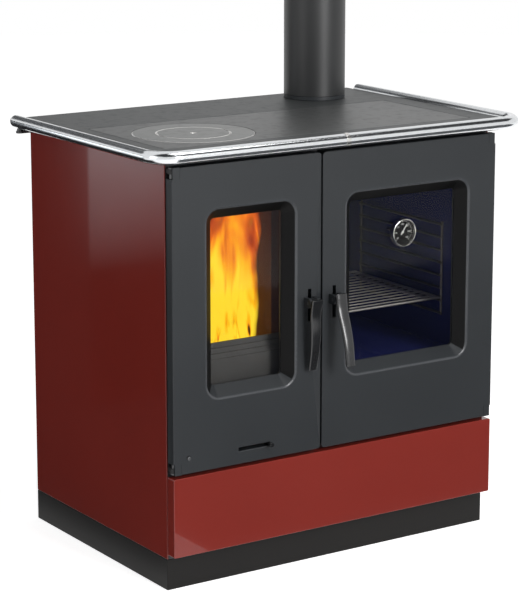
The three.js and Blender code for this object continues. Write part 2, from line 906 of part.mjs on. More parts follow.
// ---------------------------------------------------------------- rail
// Half of the rail: from its domed rear end, forward, round the corner and along the front to the joint.
function railHalf(side, jointX) {
  const x = side * railX;
  const at = (px, py, radius = railRadius) => ({ point: new THREE.Vector3(px, py, railZ), radius });
  const stations = [];
  for (let step = 1; step <= domeSteps + 1; step++) {
    const turn = (Math.PI / 2) * (step / (domeSteps + 1));
    stations.push(at(x, railRear - railRadius * (1 - Math.cos(turn)), railRadius * Math.sin(turn)));
  }
  for (let step = 0; step <= bendSteps; step++) {
    const turn = (Math.PI / 2) * (step / bendSteps);
    const across = side * railBend * (1 - Math.cos(turn));
    stations.push(at(x - across, railY + railBend * (1 - Math.sin(turn))));
  }
  stations.push(at(jointX, railY));
  return roundBar(stations, smallSides);
}

function addRail() {
  add("rail_left", railHalf(-1, railJointX - fitGap / 2), chrome);
  add("rail_right", railHalf(1, railJointX + fitGap / 2), chrome);
  const inner = railRadius + fitGap;
  const sleeveLeft = railJointX - sleeveLength / 2;
  const sleeveRight = railJointX + sleeveLength / 2;
  const sleeve = cut(
    alongX(railY, railZ, inner + sleeveThickness, sleeveLeft, sleeveRight),
    alongX(railY, railZ, inner, sleeveLeft - cutPast, sleeveRight + cutPast),
  );
  add("rail_joint_sleeve", sleeve, zincSteel);
  addBrackets();
}

// At each rear end an arm under the hob's edge with a post up to the rail, and further on round
// spacers between the hob's edge and the rail, which hides them.
function addBrackets() {
  const armTop = hobUnderside - fitGap;
  const armBottom = armTop - bracketArmHeight;
  const postTop = railZ - railRadius - fitGap;
  const half = bracketFootRadius;
  const armY = bodyBack - sideBracketFromBack;
  const arms = [-1, 1].map((side) => {
    const x = side * railX;
    const inside = x - side * bracketReach;
    return joined(
      box(Math.min(x, inside), Math.max(x, inside), armY - half, armY + half, armBottom, armTop),
      upright(x, armY, half, armBottom, armTop, smallSides),
      upright(x, armY, bracketPostRadius, armBottom + letIn, postTop, smallSides),
    );
  });
  const z = railZ - spacerDrop;
  const near = hobHalfWidth + fitGap;
  const far = hobHalfWidth + railGap - fitGap;
  const spacers = [-1, 1].flatMap((side) => [
    alongX(
      frameFront + sideBracketFromFront,
      z,
      spacerRadius,
      Math.min(side * near, side * far),
      Math.max(side * near, side * far),
    ),
    alongY(
      side * (halfWidth - frontBracketInset),
      z,
      spacerRadius,
      hobFront - railGap + fitGap,
      hobFront - fitGap,
    ),
  ]);
  [...arms, ...spacers].forEach((shape, i) => add("rail_bracket_" + (i + 1), shape, blackHandle));
}

// ---------------------------------------------------------------- doors
// One glazed cast door. side is -1 where it hangs on the left and 1 on the right.
function addDoor({ prefix, side, windowLeft, windowRight, handleX, cutters }) {
  const hingeX = side * (halfWidth - hingeInset);
  const left = side < 0 ? -halfWidth : doorSplitX + doorSplitGap / 2;
  const right = side < 0 ? doorSplitX - doorSplitGap / 2 : halfWidth;
  const slabOutline = roundedRectangle(left, right, doorBottom, doorTop, doorCornerRound);
  const slab = standing(slabOutline, doorRear, doorFront);

  const clearWindow = roundedRectangle(
    windowLeft + windowTaper,
    windowRight - windowTaper,
    windowBottom + windowTaper,
    windowTop - windowTaper,
    windowCorner - windowTaper,
  );
  const taper = new THREE.ExtrudeGeometry(clearWindow, {
    depth: cutPast,
    bevelThickness: windowTaperDepth,
    bevelSize: windowTaper,
    bevelSegments: 1,
    curveSegments: fineCorner,
  })
    .rotateX(Math.PI / 2)
    .translate(0, doorFront, 0);
  const throughWindow = standing(clearWindow, doorRear + cutPast, glassFront - letIn, fineCorner);
  const reach = windowTaper - glassSeat;
  const glassOutline = (room) =>
    roundedRectangle(
      windowLeft + reach - room,
      windowRight - reach + room,
      windowBottom + reach - room,
      windowTop - reach + room,
      windowCorner - windowTaper,
    );
  const glassPocket = standing(glassOutline(fitGap), doorRear + cutPast, glassFront);

  const notches = [
    [doorBottom - cutPast, doorBottom + notchHeight],
    [doorTop - notchHeight, doorTop + cutPast],
  ].map(([z0, z1]) => {
    const inside = hingeX - side * (knuckleRadius + notchRoom);
    const outside = side * (halfWidth + cutPast);
    return box(
      Math.min(inside, outside),
      Math.max(inside, outside),
      doorFront - cutPast,
      doorRear + cutPast,
      z0,
      z1,
    );
  });
  const pinBores = [
    [doorBottom, doorBottom + notchHeight + hingePinInDoor + fitGap],
    [doorTop - notchHeight - hingePinInDoor - fitGap, doorTop],
  ].map(([z0, z1]) => upright(hingeX, hingeY, hingePinRadius + fitGap, z0, z1));
  const edge = side * (halfWidth + cutPast);
  const chamferSpan = doorEdgeChamfer + 2 * cutPast;
  const chamferCorners = [
    [edge, doorRear + cutPast - chamferSpan],
    [edge, doorRear + cutPast],
    [edge - side * chamferSpan, doorRear + cutPast],
  ];
  const chamfer = lying(
    polygon(side < 0 ? chamferCorners.reverse() : chamferCorners),
    doorBottom - cutPast,
    doorTop + cutPast,
  );
  const latchSlot = box(
    handleX - latchSlotWidth / 2,
    handleX + latchSlotWidth / 2,
    doorFront - cutPast,
    doorRear + cutPast,
    pivotHeight - latchSlotBelow,
    pivotHeight + latchSlotAbove,
  );

  const pinBore = alongX(
    pivotY,
    pivotHeight,
    handlePinRadius + fitGap,
    handleX - leverWidth,
    handleX + leverWidth,
    smallSides,
  );
  const casting = cut(
    joined(slab, ...handleCheeks(handleX)),
    taper,
    throughWindow,
    glassPocket,
    ...notches,
    ...pinBores,
    chamfer,
    latchSlot,
    pinBore,
    ...cutters,
  );
  add(prefix + "_door_casting", casting, charcoal);

  const clampFront = glassFront + glassThickness + 2 * fitGap;
  const clampOuter = glassOutline(clampCover);
  const clampInner = roundedRectangle(
    windowLeft + reach + clampWidth - clampCover,
    windowRight - reach - clampWidth + clampCover,
    windowBottom + reach + clampWidth - clampCover,
    windowTop - reach - clampWidth + clampCover,
    windowCorner - windowTaper,
  );
  add(
    prefix + "_glass_frame",
    cut(
      standing(clampOuter, clampFront + clampThickness, clampFront),
      standing(clampInner, clampFront + clampThickness + cutPast, clampFront - cutPast),
    ),
    darkSteel,
  );
  addHingePins(prefix, hingeX);
  return standing(glassOutline(0), glassFront + fitGap + glassThickness, glassFront + fitGap);
}

// The lever turns between two cheeks cast on the door.
function handleCheeks(x) {
  const inner = leverHubWidth / 2 + fitGap;
  return [-1, 1].map((side) => {
    const x0 = side < 0 ? x - inner - cheekThickness : x + inner;
    const foot = box(
      x0,
      x0 + cheekThickness,
      pivotY,
      doorFront + letIn,
      pivotHeight - leverHubRadius,
      pivotHeight + leverHubRadius,
    );
    return joined(foot, alongX(pivotY, pivotHeight, leverHubRadius, x0, x0 + cheekThickness));
  });
}

// Pins that stand in the door and turn in the frame's eyes, with a bright head on the outer end.
function addHingePins(prefix, hingeX) {
  const lowerHeadTop = lowerKnuckle - fitGap;
  const lowerPinTop = doorBottom + notchHeight + hingePinInDoor;
  const around = (radius, z0, z1) => upright(hingeX, hingeY, radius, z0, z1, smallSides);
  const lower = joined(
    around(hingeHeadRadius, lowerHeadTop - hingeHeadHeight, lowerHeadTop),
    around(hingePinRadius, lowerHeadTop - letIn, lowerPinTop),
  );
  add(prefix + "_hinge_pin_bottom", lower, zincSteel);
  const upperHeadBottom = upperKnuckle + knuckleHeight + fitGap;
  const upperPinBottom = doorTop - notchHeight - hingePinInDoor;
  const upper = joined(
    around(hingeHeadRadius, upperHeadBottom, upperHeadBottom + hingeHeadHeight),
    around(hingePinRadius, upperPinBottom, upperHeadBottom + letIn),
  );
  add(prefix + "_hinge_pin_top", upper, zincSteel);
}

// A flat lever drawn in an S: its head stands over the round hub and its foot turns back to the door.
// A tongue runs from the hub through the door to the frame.
function addHandle(prefix, x, restAngle) {
  const half = leverThickness / 2;
  const line = [
    [-leverForwardTop, leverHeadRise],
    [-leverForwardNeck, 0],
    [-leverForwardWaist, -leverWaistDown],
    [-leverForwardBelly, -leverBellyDown],
    [-leverForwardShin, -leverShinDown],
    [leverBackFoot, -leverLength],
  ];
  const face = (side) => line.map(([y, z]) => new THREE.Vector2(y + side * half, z));
  const [front, rear] = [face(-1), face(1).reverse()];
  const blade = new THREE.Shape();
  blade.moveTo(front[0].x, front[0].y);
  blade.splineThru(front.slice(1));
  blade.lineTo(rear[0].x, rear[0].y);
  blade.splineThru(rear.slice(1));
  const lever = joined(
    sideways(blade, -leverWidth / 2, leverWidth / 2, leverCurveSteps),
    box(
      -leverHubWidth / 2,
      leverHubWidth / 2,
      -leverForwardTop,
      0,
      -neckBelowPivot,
      neckAbovePivot,
    ),
    alongX(0, 0, leverHubRadius, -leverHubWidth / 2, leverHubWidth / 2),
    box(-tongueWidth / 2, tongueWidth / 2, 0, tongueLength, -tongueBelowPivot, tongueAbovePivot),
  );
  const pinBore = alongX(0, 0, handlePinRadius + fitGap, -leverWidth, leverWidth, smallSides);
  const mesh = add(prefix + "_handle_lever", cut(lever, pinBore), blackHandle);
  mesh.position.set(x, pivotY, pivotHeight);
  mesh.rotation.x = -radians(restAngle);
  const pinHalf = leverHubWidth / 2 + fitGap + cheekThickness;
  const pin = alongX(pivotY, pivotHeight, handlePinRadius, x - pinHalf, x + pinHalf, smallSides);
  add(prefix + "_handle_pin", pin, zincSteel);
}

// ---------------------------------------------------------------- firebox door
function addFireDoor() {
  const airSlotHeight = doorBottom + airSlotRise;
  const airSlotRight = doorSplitX - airSlotInside;
  const airSlotLeft = airSlotRight - airSlotLength;
  const screwX = -halfWidth + screwInset;
  const screwHeight = doorBottom + screwRise;
  const slotBottom = airSlotHeight - airSlotWidth / 2;
  const slotTop = airSlotHeight + airSlotWidth / 2;
  const airSlot = box(
    airSlotLeft,
    airSlotRight,
    doorFront - cutPast,
    doorRear + cutPast,
    slotBottom,
    slotTop,
  );
  const plateRear = doorRear - fitGap;
  const plateHalf = airPlateHeight / 2;
  const knobX = airSlotRight - airStemRadius - fitGap;
  const travel = airSlotRight - airSlotLeft - 2 * (airStemRadius + fitGap);
  const channel = box(
    knobX - travel - airPlateLength / 2 - fitGap,
    knobX + airPlateLength / 2 + fitGap,
    plateRear - airPlateThickness - fitGap,
    doorRear + cutPast,
    airSlotHeight - plateHalf - fitGap,
    airSlotHeight + plateHalf + fitGap,
  );
  const screwHole = alongY(
    screwX,
    screwHeight,
    screwRadius + fitGap,
    doorFront - cutPast,
    doorFront + screwDepth,
    smallSides,
  );
  const glass = addDoor({
    prefix: "firebox",
    side: -1,
    windowLeft: fireWindowLeft,
    windowRight: fireWindowRight,
    handleX: fireHandleX,
    cutters: [airSlot, channel, screwHole],
  });
  add("firebox_door_glass", glass, doorGlass);
  addHandle("firebox", fireHandleX, 0);

  const knobRear = doorFront - airKnobStandOff;
  const slider = joined(
    box(
      knobX - airPlateLength / 2,
      knobX + airPlateLength / 2,
      plateRear - airPlateThickness,
      plateRear,
      airSlotHeight - plateHalf,
      airSlotHeight + plateHalf,
    ),
    alongY(knobX, airSlotHeight, airStemRadius, knobRear - letIn, plateRear - letIn, stemSides),
    alongY(knobX, airSlotHeight, airKnobRadius, knobRear - airKnobLength, knobRear, smallSides),
  );
  add("air_slider", slider, blackHandle);
  add(
    "firebox_door_screw",
    alongY(
      screwX,
      screwHeight,
      screwRadius,
      doorFront - screwHeadRise,
      doorFront + screwDepth - fitGap,
      smallSides,
    ),
    zincSteel,
  );
}

// ---------------------------------------------------------------- oven door and thermometer
const gaugeX = ovenWindowRight - gaugeFromWindowSide;
const gaugeHeight = windowTop - gaugeFromWindowTop;

function addOvenDoor() {
  const glass = addDoor({
    prefix: "oven",
    side: 1,
    windowLeft: ovenWindowLeft,
    windowRight: ovenWindowRight,
    handleX: ovenHandleX,
    cutters: [],
  });
  const stemHole = alongY(
    gaugeX,
    gaugeHeight,
    gaugeStemRadius + fitGap,
    glassFront - cutPast,
    doorRear + cutPast,
    smallSides,
  );
  add("oven_door_glass", cut(glass, stemHole), doorGlass);
  addHandle("oven", ovenHandleX, ovenHandleRestAngle);
  addThermometer();
}

function addThermometer() {
  const rear = glassFront;
  const front = rear - gaugeDepth;
  const floor = rear - gaugeFloor;
  const inner = gaugeRadius - gaugeRim;
  const around = (radius, y0, y1, sides = pipeSides) => alongY(gaugeX, gaugeHeight, radius, y0, y1, sides);
  const caseSolid = joined(
    around(gaugeRadius, front, rear),
    around(gaugeStemRadius, floor, rear + gaugeStemLength, stemSides),
  );
  const well = around(inner, front - cutPast, floor);
  add("thermometer_case", cut(caseSolid, well), chrome);

  const disc = inner - fitGap;
  const dialFront = floor - fitGap - dialThickness;
  add("thermometer_dial", around(disc, dialFront, floor - fitGap), dialBlack);

  const needle = new THREE.Shape();
  needle.moveTo(-needleWidth / 2, -needleTail);
  needle.lineTo(needleWidth / 2, -needleTail);
  needle.lineTo(needleWidth / 4, needleLength);
  needle.lineTo(-needleWidth / 4, needleLength);
  const needleRear = -fitGap;
  const hand = joined(
    standing(needle, needleRear, needleRear - needleThickness),
    alongY(0, 0, needleHubRadius, needleRear - 2 * needleThickness, needleRear, stemSides),
  );
  const handMesh = add("thermometer_needle", hand, needleWhite);
  handMesh.position.set(gaugeX, dialFront, gaugeHeight);
  handMesh.rotation.y = radians(needleAngle);

  const lensFront = front + fitGap;
  add("thermometer_lens", around(disc, lensFront, lensFront + lensThickness), doorGlass);
}

addPlinth();
addPanels();
addFrontFrame();
addDrawer();
addRunners();
addFirebox();
addOven();
addHob();
addFlue();
addRail();
addFireDoor();
addOvenDoor();

// The middle of the footprint goes to the origin.
const footprint = new THREE.Box3().setFromObject(stove, true);
stove.position.y = -(footprint.min.y + footprint.max.y) / 2;

export default stove;
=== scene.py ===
import logging
import math
from dataclasses import dataclass
from enum import Enum
from typing import Callable, Iterable, Sequence, TypeVar

import bmesh
import bpy
from mathutils import Matrix, Vector, noise


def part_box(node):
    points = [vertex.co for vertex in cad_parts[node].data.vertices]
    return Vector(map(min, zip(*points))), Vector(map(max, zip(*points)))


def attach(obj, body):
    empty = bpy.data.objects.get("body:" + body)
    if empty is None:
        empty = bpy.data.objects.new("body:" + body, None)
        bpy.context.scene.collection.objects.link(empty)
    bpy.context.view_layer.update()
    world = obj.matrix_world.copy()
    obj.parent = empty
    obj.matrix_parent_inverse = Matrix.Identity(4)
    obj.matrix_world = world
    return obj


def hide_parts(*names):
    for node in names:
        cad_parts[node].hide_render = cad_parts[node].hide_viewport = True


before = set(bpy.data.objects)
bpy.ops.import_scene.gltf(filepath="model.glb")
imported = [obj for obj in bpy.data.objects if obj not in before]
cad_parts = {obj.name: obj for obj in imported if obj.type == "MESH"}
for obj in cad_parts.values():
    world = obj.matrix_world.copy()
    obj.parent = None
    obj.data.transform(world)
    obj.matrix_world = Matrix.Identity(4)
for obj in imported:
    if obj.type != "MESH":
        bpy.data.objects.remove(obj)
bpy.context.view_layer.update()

LOG = logging.getLogger("cookstove")
Color = tuple[float, float, float, float]
Element = TypeVar("Element", bmesh.types.BMVert, bmesh.types.BMEdge, bmesh.types.BMFace)
MM = 0.001
WHITE: Color = (1, 1, 1, 1)
BLACK: Color = (0, 0, 0, 1)
UP = Vector((0, 0, 1))
FORWARD = Vector((0, -1, 0))
RIGHT = Vector((1, 0, 0))


def paint_color(red: int, green: int, blue: int) -> Color:
    """Turns a display colour into the linear colour that a shader takes.

    Args:
        red: Red, 0 to 255.
        green: Green, 0 to 255.
        blue: Blue, 0 to 255.

    Returns:
        The linear colour, fully opaque.
    """
    linear = [
        value / 12.92 if value <= 0.04045 else ((value + 0.055) / 1.055) ** 2.4
        for value in (red / 255, green / 255, blue / 255)
    ]
    return (linear[0], linear[1], linear[2], 1.0)


class Body(Enum):
    """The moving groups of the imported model."""

    STOVE = "stove"
    DRAWER = "drawer"
    HOB_RING = "hob_ring"
    HOB_DISC = "hob_disc"
    OVEN_RACK = "oven_rack"
    ASH_PAN = "ash_pan"
    FIREBOX_DOOR = "firebox_door"
    FIREBOX_HANDLE = "firebox_handle"
    AIR_SLIDER = "air_slider"
    OVEN_DOOR = "oven_door"
    OVEN_HANDLE = "oven_handle"
    NEEDLE = "thermometer_needle"


class Slot(Enum):
    """The record's material slots."""

    RED_ENAMEL = "red_enamel"
    CHARCOAL = "charcoal_enamel"
    PLINTH = "plinth_enamel"
    CAST_IRON = "cast_iron"
    HOB_STEEL = "hob_steel"
    DARK_STEEL = "dark_steel"
    CHROME = "chrome"
    ZINC = "zinc_steel"
    OVEN_ENAMEL = "oven_enamel"
    FIREBRICK = "firebrick"
    GLASS = "door_glass"
    HANDLE = "black_handle"
    DIAL = "dial_black"
    NEEDLE = "needle_white"


# ------------------------------------------------------------------ shader tools
class Signal:
    """A node's output that can be used in Python sums."""

    def __init__(self, shader: "Shader", socket: bpy.types.NodeSocket) -> None:
        """Keeps the shader that holds the socket, and the socket."""
        self.shader = shader
        self.socket = socket

    def __add__(self, other: "Signal | float") -> "Signal":
        """Adds."""
        return self.shader.math("ADD", self, other)

    def __radd__(self, other: float) -> "Signal":
        """Adds to a number."""
        return self.shader.math("ADD", other, self)

    def __sub__(self, other: "Signal | float") -> "Signal":
        """Takes away."""
        return self.shader.math("SUBTRACT", self, other)

    def __rsub__(self, other: float) -> "Signal":
        """Is taken from a number."""
        return self.shader.math("SUBTRACT", other, self)

    def __mul__(self, other: "Signal | float") -> "Signal":
        """Multiplies."""
        return self.shader.math("MULTIPLY", self, other)

    def __rmul__(self, other: float) -> "Signal":
        """Multiplies a number."""
        return self.shader.math("MULTIPLY", other, self)

    def __truediv__(self, other: "Signal | float") -> "Signal":
        """Divides."""
        return self.shader.math("DIVIDE", self, other)

    def __pow__(self, other: float) -> "Signal":
        """Raises to a power."""
        return self.shader.math("POWER", self, other)

    def clamped(self) -> "Signal":
        """Holds the value between 0 and 1."""
        return self.shader.node("ShaderNodeClamp", None, {"Value": self})

    def least(self, other: "Signal | float") -> "Signal":
        """Takes the smaller of two values."""
        return self.shader.math("MINIMUM", self, other)


class Shader:
    """The nodes of one material, or of the world, under construction."""

    def __init__(self, holder: bpy.types.Material | bpy.types.World) -> None:
        """Empties the nodes and adds their output.

        Args:
            holder: The material or the world that holds them.
        """
        holder.use_nodes = True
        self.tree = holder.node_tree
        self.tree.nodes.clear()
        kind = "World" if isinstance(holder, bpy.types.World) else "Material"
        self.end = self.tree.nodes.new("ShaderNodeOutput" + kind)

    def node(
        self,
        kind: str,
        settings: dict | None = None,
        sockets: dict | None = None,
        output: int | str = 0,
    ) -> Signal:
        """Makes any node, sets it up, then feeds its sockets.

        Args:
            kind: The node's type.
            settings: Its own settings; "stops" fills a ramp with (place, colour) pairs.
            sockets: Values or signals by socket name or number.
            output: Which output is returned.

        Returns:
            The chosen output.
        """
        made = self.tree.nodes.new(kind)
        for key, value in (settings or {}).items():
            if key == "stops":
                self._fill_ramp(made.color_ramp, value)
            else:
                setattr(made, key, value)
        for key, value in (sockets or {}).items():
            if isinstance(value, Signal):
                self.tree.links.new(value.socket, made.inputs[key])
            else:
                made.inputs[key].default_value = value
        return Signal(self, made.outputs[output])

    @staticmethod
    def _fill_ramp(ramp: bpy.types.ColorRamp, stops: Sequence[tuple[float, Color]]) -> None:
        """Sets a ramp's stops.

        Args:
            ramp: The ramp.
            stops: Places from 0 to 1 and their colours, in rising order.
        """
        while len(ramp.elements) < len(stops):
            ramp.elements.new(1.0)
        for element, (place, color) in zip(ramp.elements, stops):
            element.position = place
            element.color = color

    def math(self, operation: str, first: "Signal | float", second: "Signal | float") -> Signal:
        """Makes a Math node of two values."""
        return self.node("ShaderNodeMath", {"operation": operation}, {0: first, 1: second})

    def place(self) -> Signal:
        """Gives the point on the object, in metres."""
        return self.node("ShaderNodeTexCoord", output="Object")

    def shifted(self, place: Signal, origin: Vector, scale: Sequence[float] = (1, 1, 1)) -> Signal:
        """Measures a place from an origin, then stretches it.

        Args:
            place: The place to measure.
            origin: What becomes the zero point.
            scale: Factors along X, Y and Z.

        Returns:
            The new place.
        """
        offset = tuple(-start * factor for start, factor in zip(origin, scale))
        sockets = {"Vector": place, "Location": offset, "Scale": tuple(scale)}
        return self.node("ShaderNodeMapping", None, sockets)

    def axes(self, place: Signal) -> tuple[Signal, Signal, Signal]:
        """Splits a place into its X, Y and Z.

        Args:
            place: The place.

        Returns:
            The three values.
        """
        split = self.node("ShaderNodeSeparateXYZ", None, {0: place})
        outputs = split.socket.node.outputs
        return Signal(self, outputs[0]), Signal(self, outputs[1]), Signal(self, outputs[2])

    def clouds(self, place: Signal, scale: float, detail: float = 3, warp: float = 0) -> Signal:
        """Gives soft noise from 0 to 1.

        Args:
            place: Where it is read.
            scale: Patches per metre.
            detail: Octaves of finer noise.
            warp: How far the noise distorts itself.

        Returns:
            The noise.
        """
        sockets = {"Vector": place, "Scale": scale, "Detail": detail, "Distortion": warp}
        return self.node("ShaderNodeTexNoise", None, sockets, "Fac")

    def cells(self, place: Signal, scale: float, feature: str = "F1") -> Signal:
        """Gives the distance to the centres or edges of scattered cells."""
        sockets = {"Vector": place, "Scale": scale}
        return self.node("ShaderNodeTexVoronoi", {"feature": feature}, sockets, "Distance")

    def blend(self, first: "Signal | Color", second: "Signal | Color", share: "Signal | float") -> Signal:
        """Mixes two colours.

        Args:
            first: The colour where share is 0.
            second: The colour where share is 1.
            share: How much of the second colour.

        Returns:
            The mixed colour.
        """
        settings = {"data_type": "RGBA", "clamp_factor": True}
        return self.node("ShaderNodeMix", settings, {0: share, 6: first, 7: second}, 2)

    def ramp(self, value: Signal, stops: Sequence[tuple[float, Color]]) -> Signal:
        """Turns a value into a colour of a ramp."""
        return self.node("ShaderNodeValToRGB", {"stops": stops}, {0: value})

    def relief(self, height: Signal, depth: float) -> Signal:
        """Turns a height, whose 1 is a depth in metres, into a normal."""
        return self.node("ShaderNodeBump", None, {"Height": height, "Distance": depth}, "Normal")

    def surface(self, **sockets: "Signal | float | Color") -> None:
        """Closes the material with one Principled shader.

        Args:
            **sockets: Its sockets, with _ for a space in their names.
        """
        named = {key.replace("_", " "): value for key, value in sockets.items()}
        self.close(self.node("ShaderNodeBsdfPrincipled", None, named))

    def close(self, shading: Signal) -> None:
        """Feeds the material's output."""
        self.tree.links.new(shading.socket, self.end.inputs["Surface"])


# ------------------------------------------------------------------ finishes
@dataclass(frozen=True)
class Finish:
    """A surface finish; each kind paints its own shader."""

    name: str

    def paint(self, shader: Shader) -> None:
        """Builds the finish's nodes in an empty shader."""
        raise NotImplementedError

    def material(self) -> bpy.types.Material:
        """Gives the finish's material, made once.

        Returns:
            The material.
        """
        found = bpy.data.materials.get(self.name)
        if found is None:
            found = bpy.data.materials.new(self.name)
            self.paint(Shader(found))
        return found


@dataclass(frozen=True)
class VitreousEnamel(Finish):
    """Glassy enamel fired on sheet steel: a deep colour under a clear gloss, with a faint orange peel."""

    color: Color
    thick: Color
    roughness: float = 0.2
    gloss: float = 0.45
    ripple: float = 0.4 * MM
    specks: float = 0.25
    speck_scale: float = 520
    peel_scale: float = 330
    mirror: float = 0.4

    def paint(self, shader: Shader) -> None:
        """Builds the finish's nodes.

        Args:
            shader: The empty shader that takes them.
        """
        place = shader.place()
        flow = shader.clouds(place, 3.1, 3)
        speck = shader.clouds(place, self.speck_scale, 2)
        tone = (flow * 0.9 + speck * self.specks).clamped()
        peel = shader.clouds(place, self.peel_scale, 2)
        height = shader.clouds(place, 6.5, 1) + peel * 0.006
        shader.surface(
            Base_Color=shader.blend(self.color, self.thick, tone),
            Roughness=(shader.clouds(place, 24, 3) * 0.1 + (self.roughness - 0.05)).clamped(),
            Specular_IOR_Level=self.mirror,
            Coat_Weight=self.gloss,
            Coat_Roughness=0.04,
            Normal=shader.relief(height, self.ripple),
        )


@dataclass(frozen=True)
class CastPaint(Finish):
    """Satin stove paint on cast iron: the sand's grain shows through it."""

    color: Color
    worn: Color
    roughness: float = 0.46
    grain: float = 620
    depth: float = 0.12 * MM
    gloss: float = 0.0
    mirror: float = 0.35

    def paint(self, shader: Shader) -> None:
        """Builds the finish's nodes.

        Args:
            shader: The empty shader that takes them.
        """
        place = shader.place()
        broad = shader.clouds(place, 5, 4)
        sand = shader.clouds(place, self.grain, 3)
        pits = shader.cells(place, self.grain * 0.55)
        tone = (broad * 0.75 + sand * 0.35 - 0.05).clamped()
        height = sand * 0.7 + pits * 0.3 + shader.clouds(place, 40, 2) * 0.5
        shader.surface(
            Base_Color=shader.blend(self.color, self.worn, tone),
            Roughness=(sand * 0.12 + broad * 0.1 + (self.roughness - 0.11)).clamped(),
            Specular_IOR_Level=self.mirror,
            Coat_Weight=self.gloss,
            Coat_Roughness=0.25,
            Normal=shader.relief(height, self.depth),
        )


@dataclass(frozen=True)
class SootedIron(Finish):
    """Bare iron that has seen the fire: soot, ash dust and a trace of rust."""

    iron: Color
    soot: Color
    rust: Color
    rust_share: float = 0.25

    def paint(self, shader: Shader) -> None:
        """Builds the finish's nodes.

        Args:
            shader: The empty shader that takes them.
        """
        place = shader.place()
        patches = shader.clouds(place, 14, 5, 0.6)
        grit = shader.clouds(place, 480, 3)
        stain = ((shader.clouds(place, 32, 4) - 0.56) * 6 * self.rust_share).clamped()
        base = shader.blend(shader.blend(self.iron, self.soot, patches), self.rust, stain)
        shader.surface(
            Base_Color=base,
            Roughness=(grit * 0.2 + 0.62).clamped(),
            Metallic=(0.35 - patches * 0.35).clamped(),
            Normal=shader.relief(grit + patches * 0.4, 0.2 * MM),
        )


@dataclass(frozen=True)
class HobSteel(Finish):
    """Machined hob steel: fine tool marks, blued by heat, with the polish worn through in use."""

    color: Color
    heated: Color
    centre: Vector
    turned: bool = False
    roughness: float = 0.42
    metal: float = 0.45
    mirror: float = 0.3
    marks_across: float = 900
    brushed: tuple[float, float, float] = (6, 700, 700)

    def paint(self, shader: Shader) -> None:
        """Builds the finish's nodes.

        Args:
            shader: The empty shader that takes them.
        """
        place = shader.place()
        if self.turned:
            across, along, _ = shader.axes(shader.shifted(place, self.centre))
            radius = (across * across + along * along) ** 0.5
            round_place = shader.node("ShaderNodeCombineXYZ", None, {0: radius, 1: 0.0, 2: 0.0})
            marks = shader.clouds(round_place, self.marks_across, 4)
        else:
            marks = shader.clouds(shader.shifted(place, self.centre, self.brushed), 1.0, 4)
        heat = shader.clouds(place, 7, 4, 0.4)
        scuff = ((shader.clouds(place, 55, 6, 0.3) - 0.5) * 3).clamped()
        tone = (heat * 0.9 + marks * 0.35 - 0.12).clamped()
        shader.surface(
            Base_Color=shader.blend(self.color, self.heated, tone),
            Roughness=(marks * 0.14 + scuff * 0.1 + (self.roughness - 0.1)).clamped(),
            Metallic=self.metal,
            Specular_IOR_Level=self.mirror,
            Normal=shader.relief(marks, 0.03 * MM),
        )


@dataclass(frozen=True)
class PlatedMetal(Finish):
    """Chrome or zinc on steel: bright, with faint smears; zinc shows its spangle."""

    color: Color
    shade: Color
    roughness: float = 0.06
    spangle: float = 0.0
    smear: float = 0.05

    def paint(self, shader: Shader) -> None:
        """Builds the finish's nodes.

        Args:
            shader: The empty shader that takes them.
        """
        place = shader.place()
        smears = shader.clouds(place, 38, 4, 0.5)
        crystals = shader.cells(place, 160)
        tone = (smears * 0.4 + crystals * self.spangle).clamped()
        shader.surface(
            Base_Color=shader.blend(self.color, self.shade, tone),
            Roughness=(smears * self.smear + crystals * (self.spangle * 0.25) + self.roughness).clamped(),
            Metallic=1.0,
            Normal=shader.relief(shader.clouds(place, 900, 2), 0.006 * MM),
        )


@dataclass(frozen=True)
class SheetPaint(Finish):
    """Matt heat-proof paint on steel sheet, with a faint vertical drift of tone."""

    color: Color
    pale: Color
    roughness: float = 0.5
    metal: float = 0.0

    def paint(self, shader: Shader) -> None:
        """Builds the finish's nodes.

        Args:
            shader: The empty shader that takes them.
        """
        place = shader.place()
        drift = shader.clouds(shader.shifted(place, Vector((0, 0, 0)), (9, 9, 2)), 1.0, 4)
        fine = shader.clouds(place, 750, 2)
        shader.surface(
            Base_Color=shader.blend(self.color, self.pale, (drift * 0.8 + fine * 0.25 - 0.05).clamped()),
            Roughness=(fine * 0.1 + drift * 0.12 + (self.roughness - 0.1)).clamped(),
            Metallic=self.metal,
            Normal=shader.relief(fine + drift * 0.3, 0.05 * MM),
        )


@dataclass(frozen=True)
class FiredBrick(Finish):
    """Pressed firebrick: sandy, pitted, darkened by smoke towards the top."""

    clay: Color
    smoke: Color
    low: float
    high: float

    def paint(self, shader: Shader) -> None:
        """Builds the finish's nodes.

        Args:
            shader: The empty shader that takes them.
        """
        place = shader.place()
        _, _, height = shader.axes(place)
        rise = ((height - self.low) / (self.high - self.low)).clamped()
        sand = shader.clouds(place, 260, 5)
        pits = shader.cells(place, 120)
        smoke = (rise * 0.5 + shader.clouds(place, 12, 4, 0.8) * 0.8 - 0.15).clamped()
        tinted = shader.blend(self.clay, self.smoke, smoke)
        shader.surface(
            Base_Color=shader.blend(tinted, self.smoke, (sand * 1.4 - 0.7).clamped()),
            Roughness=(sand * 0.1 + 0.82).clamped(),
            Normal=shader.relief(sand + pits * 0.5, 0.5 * MM),
        )


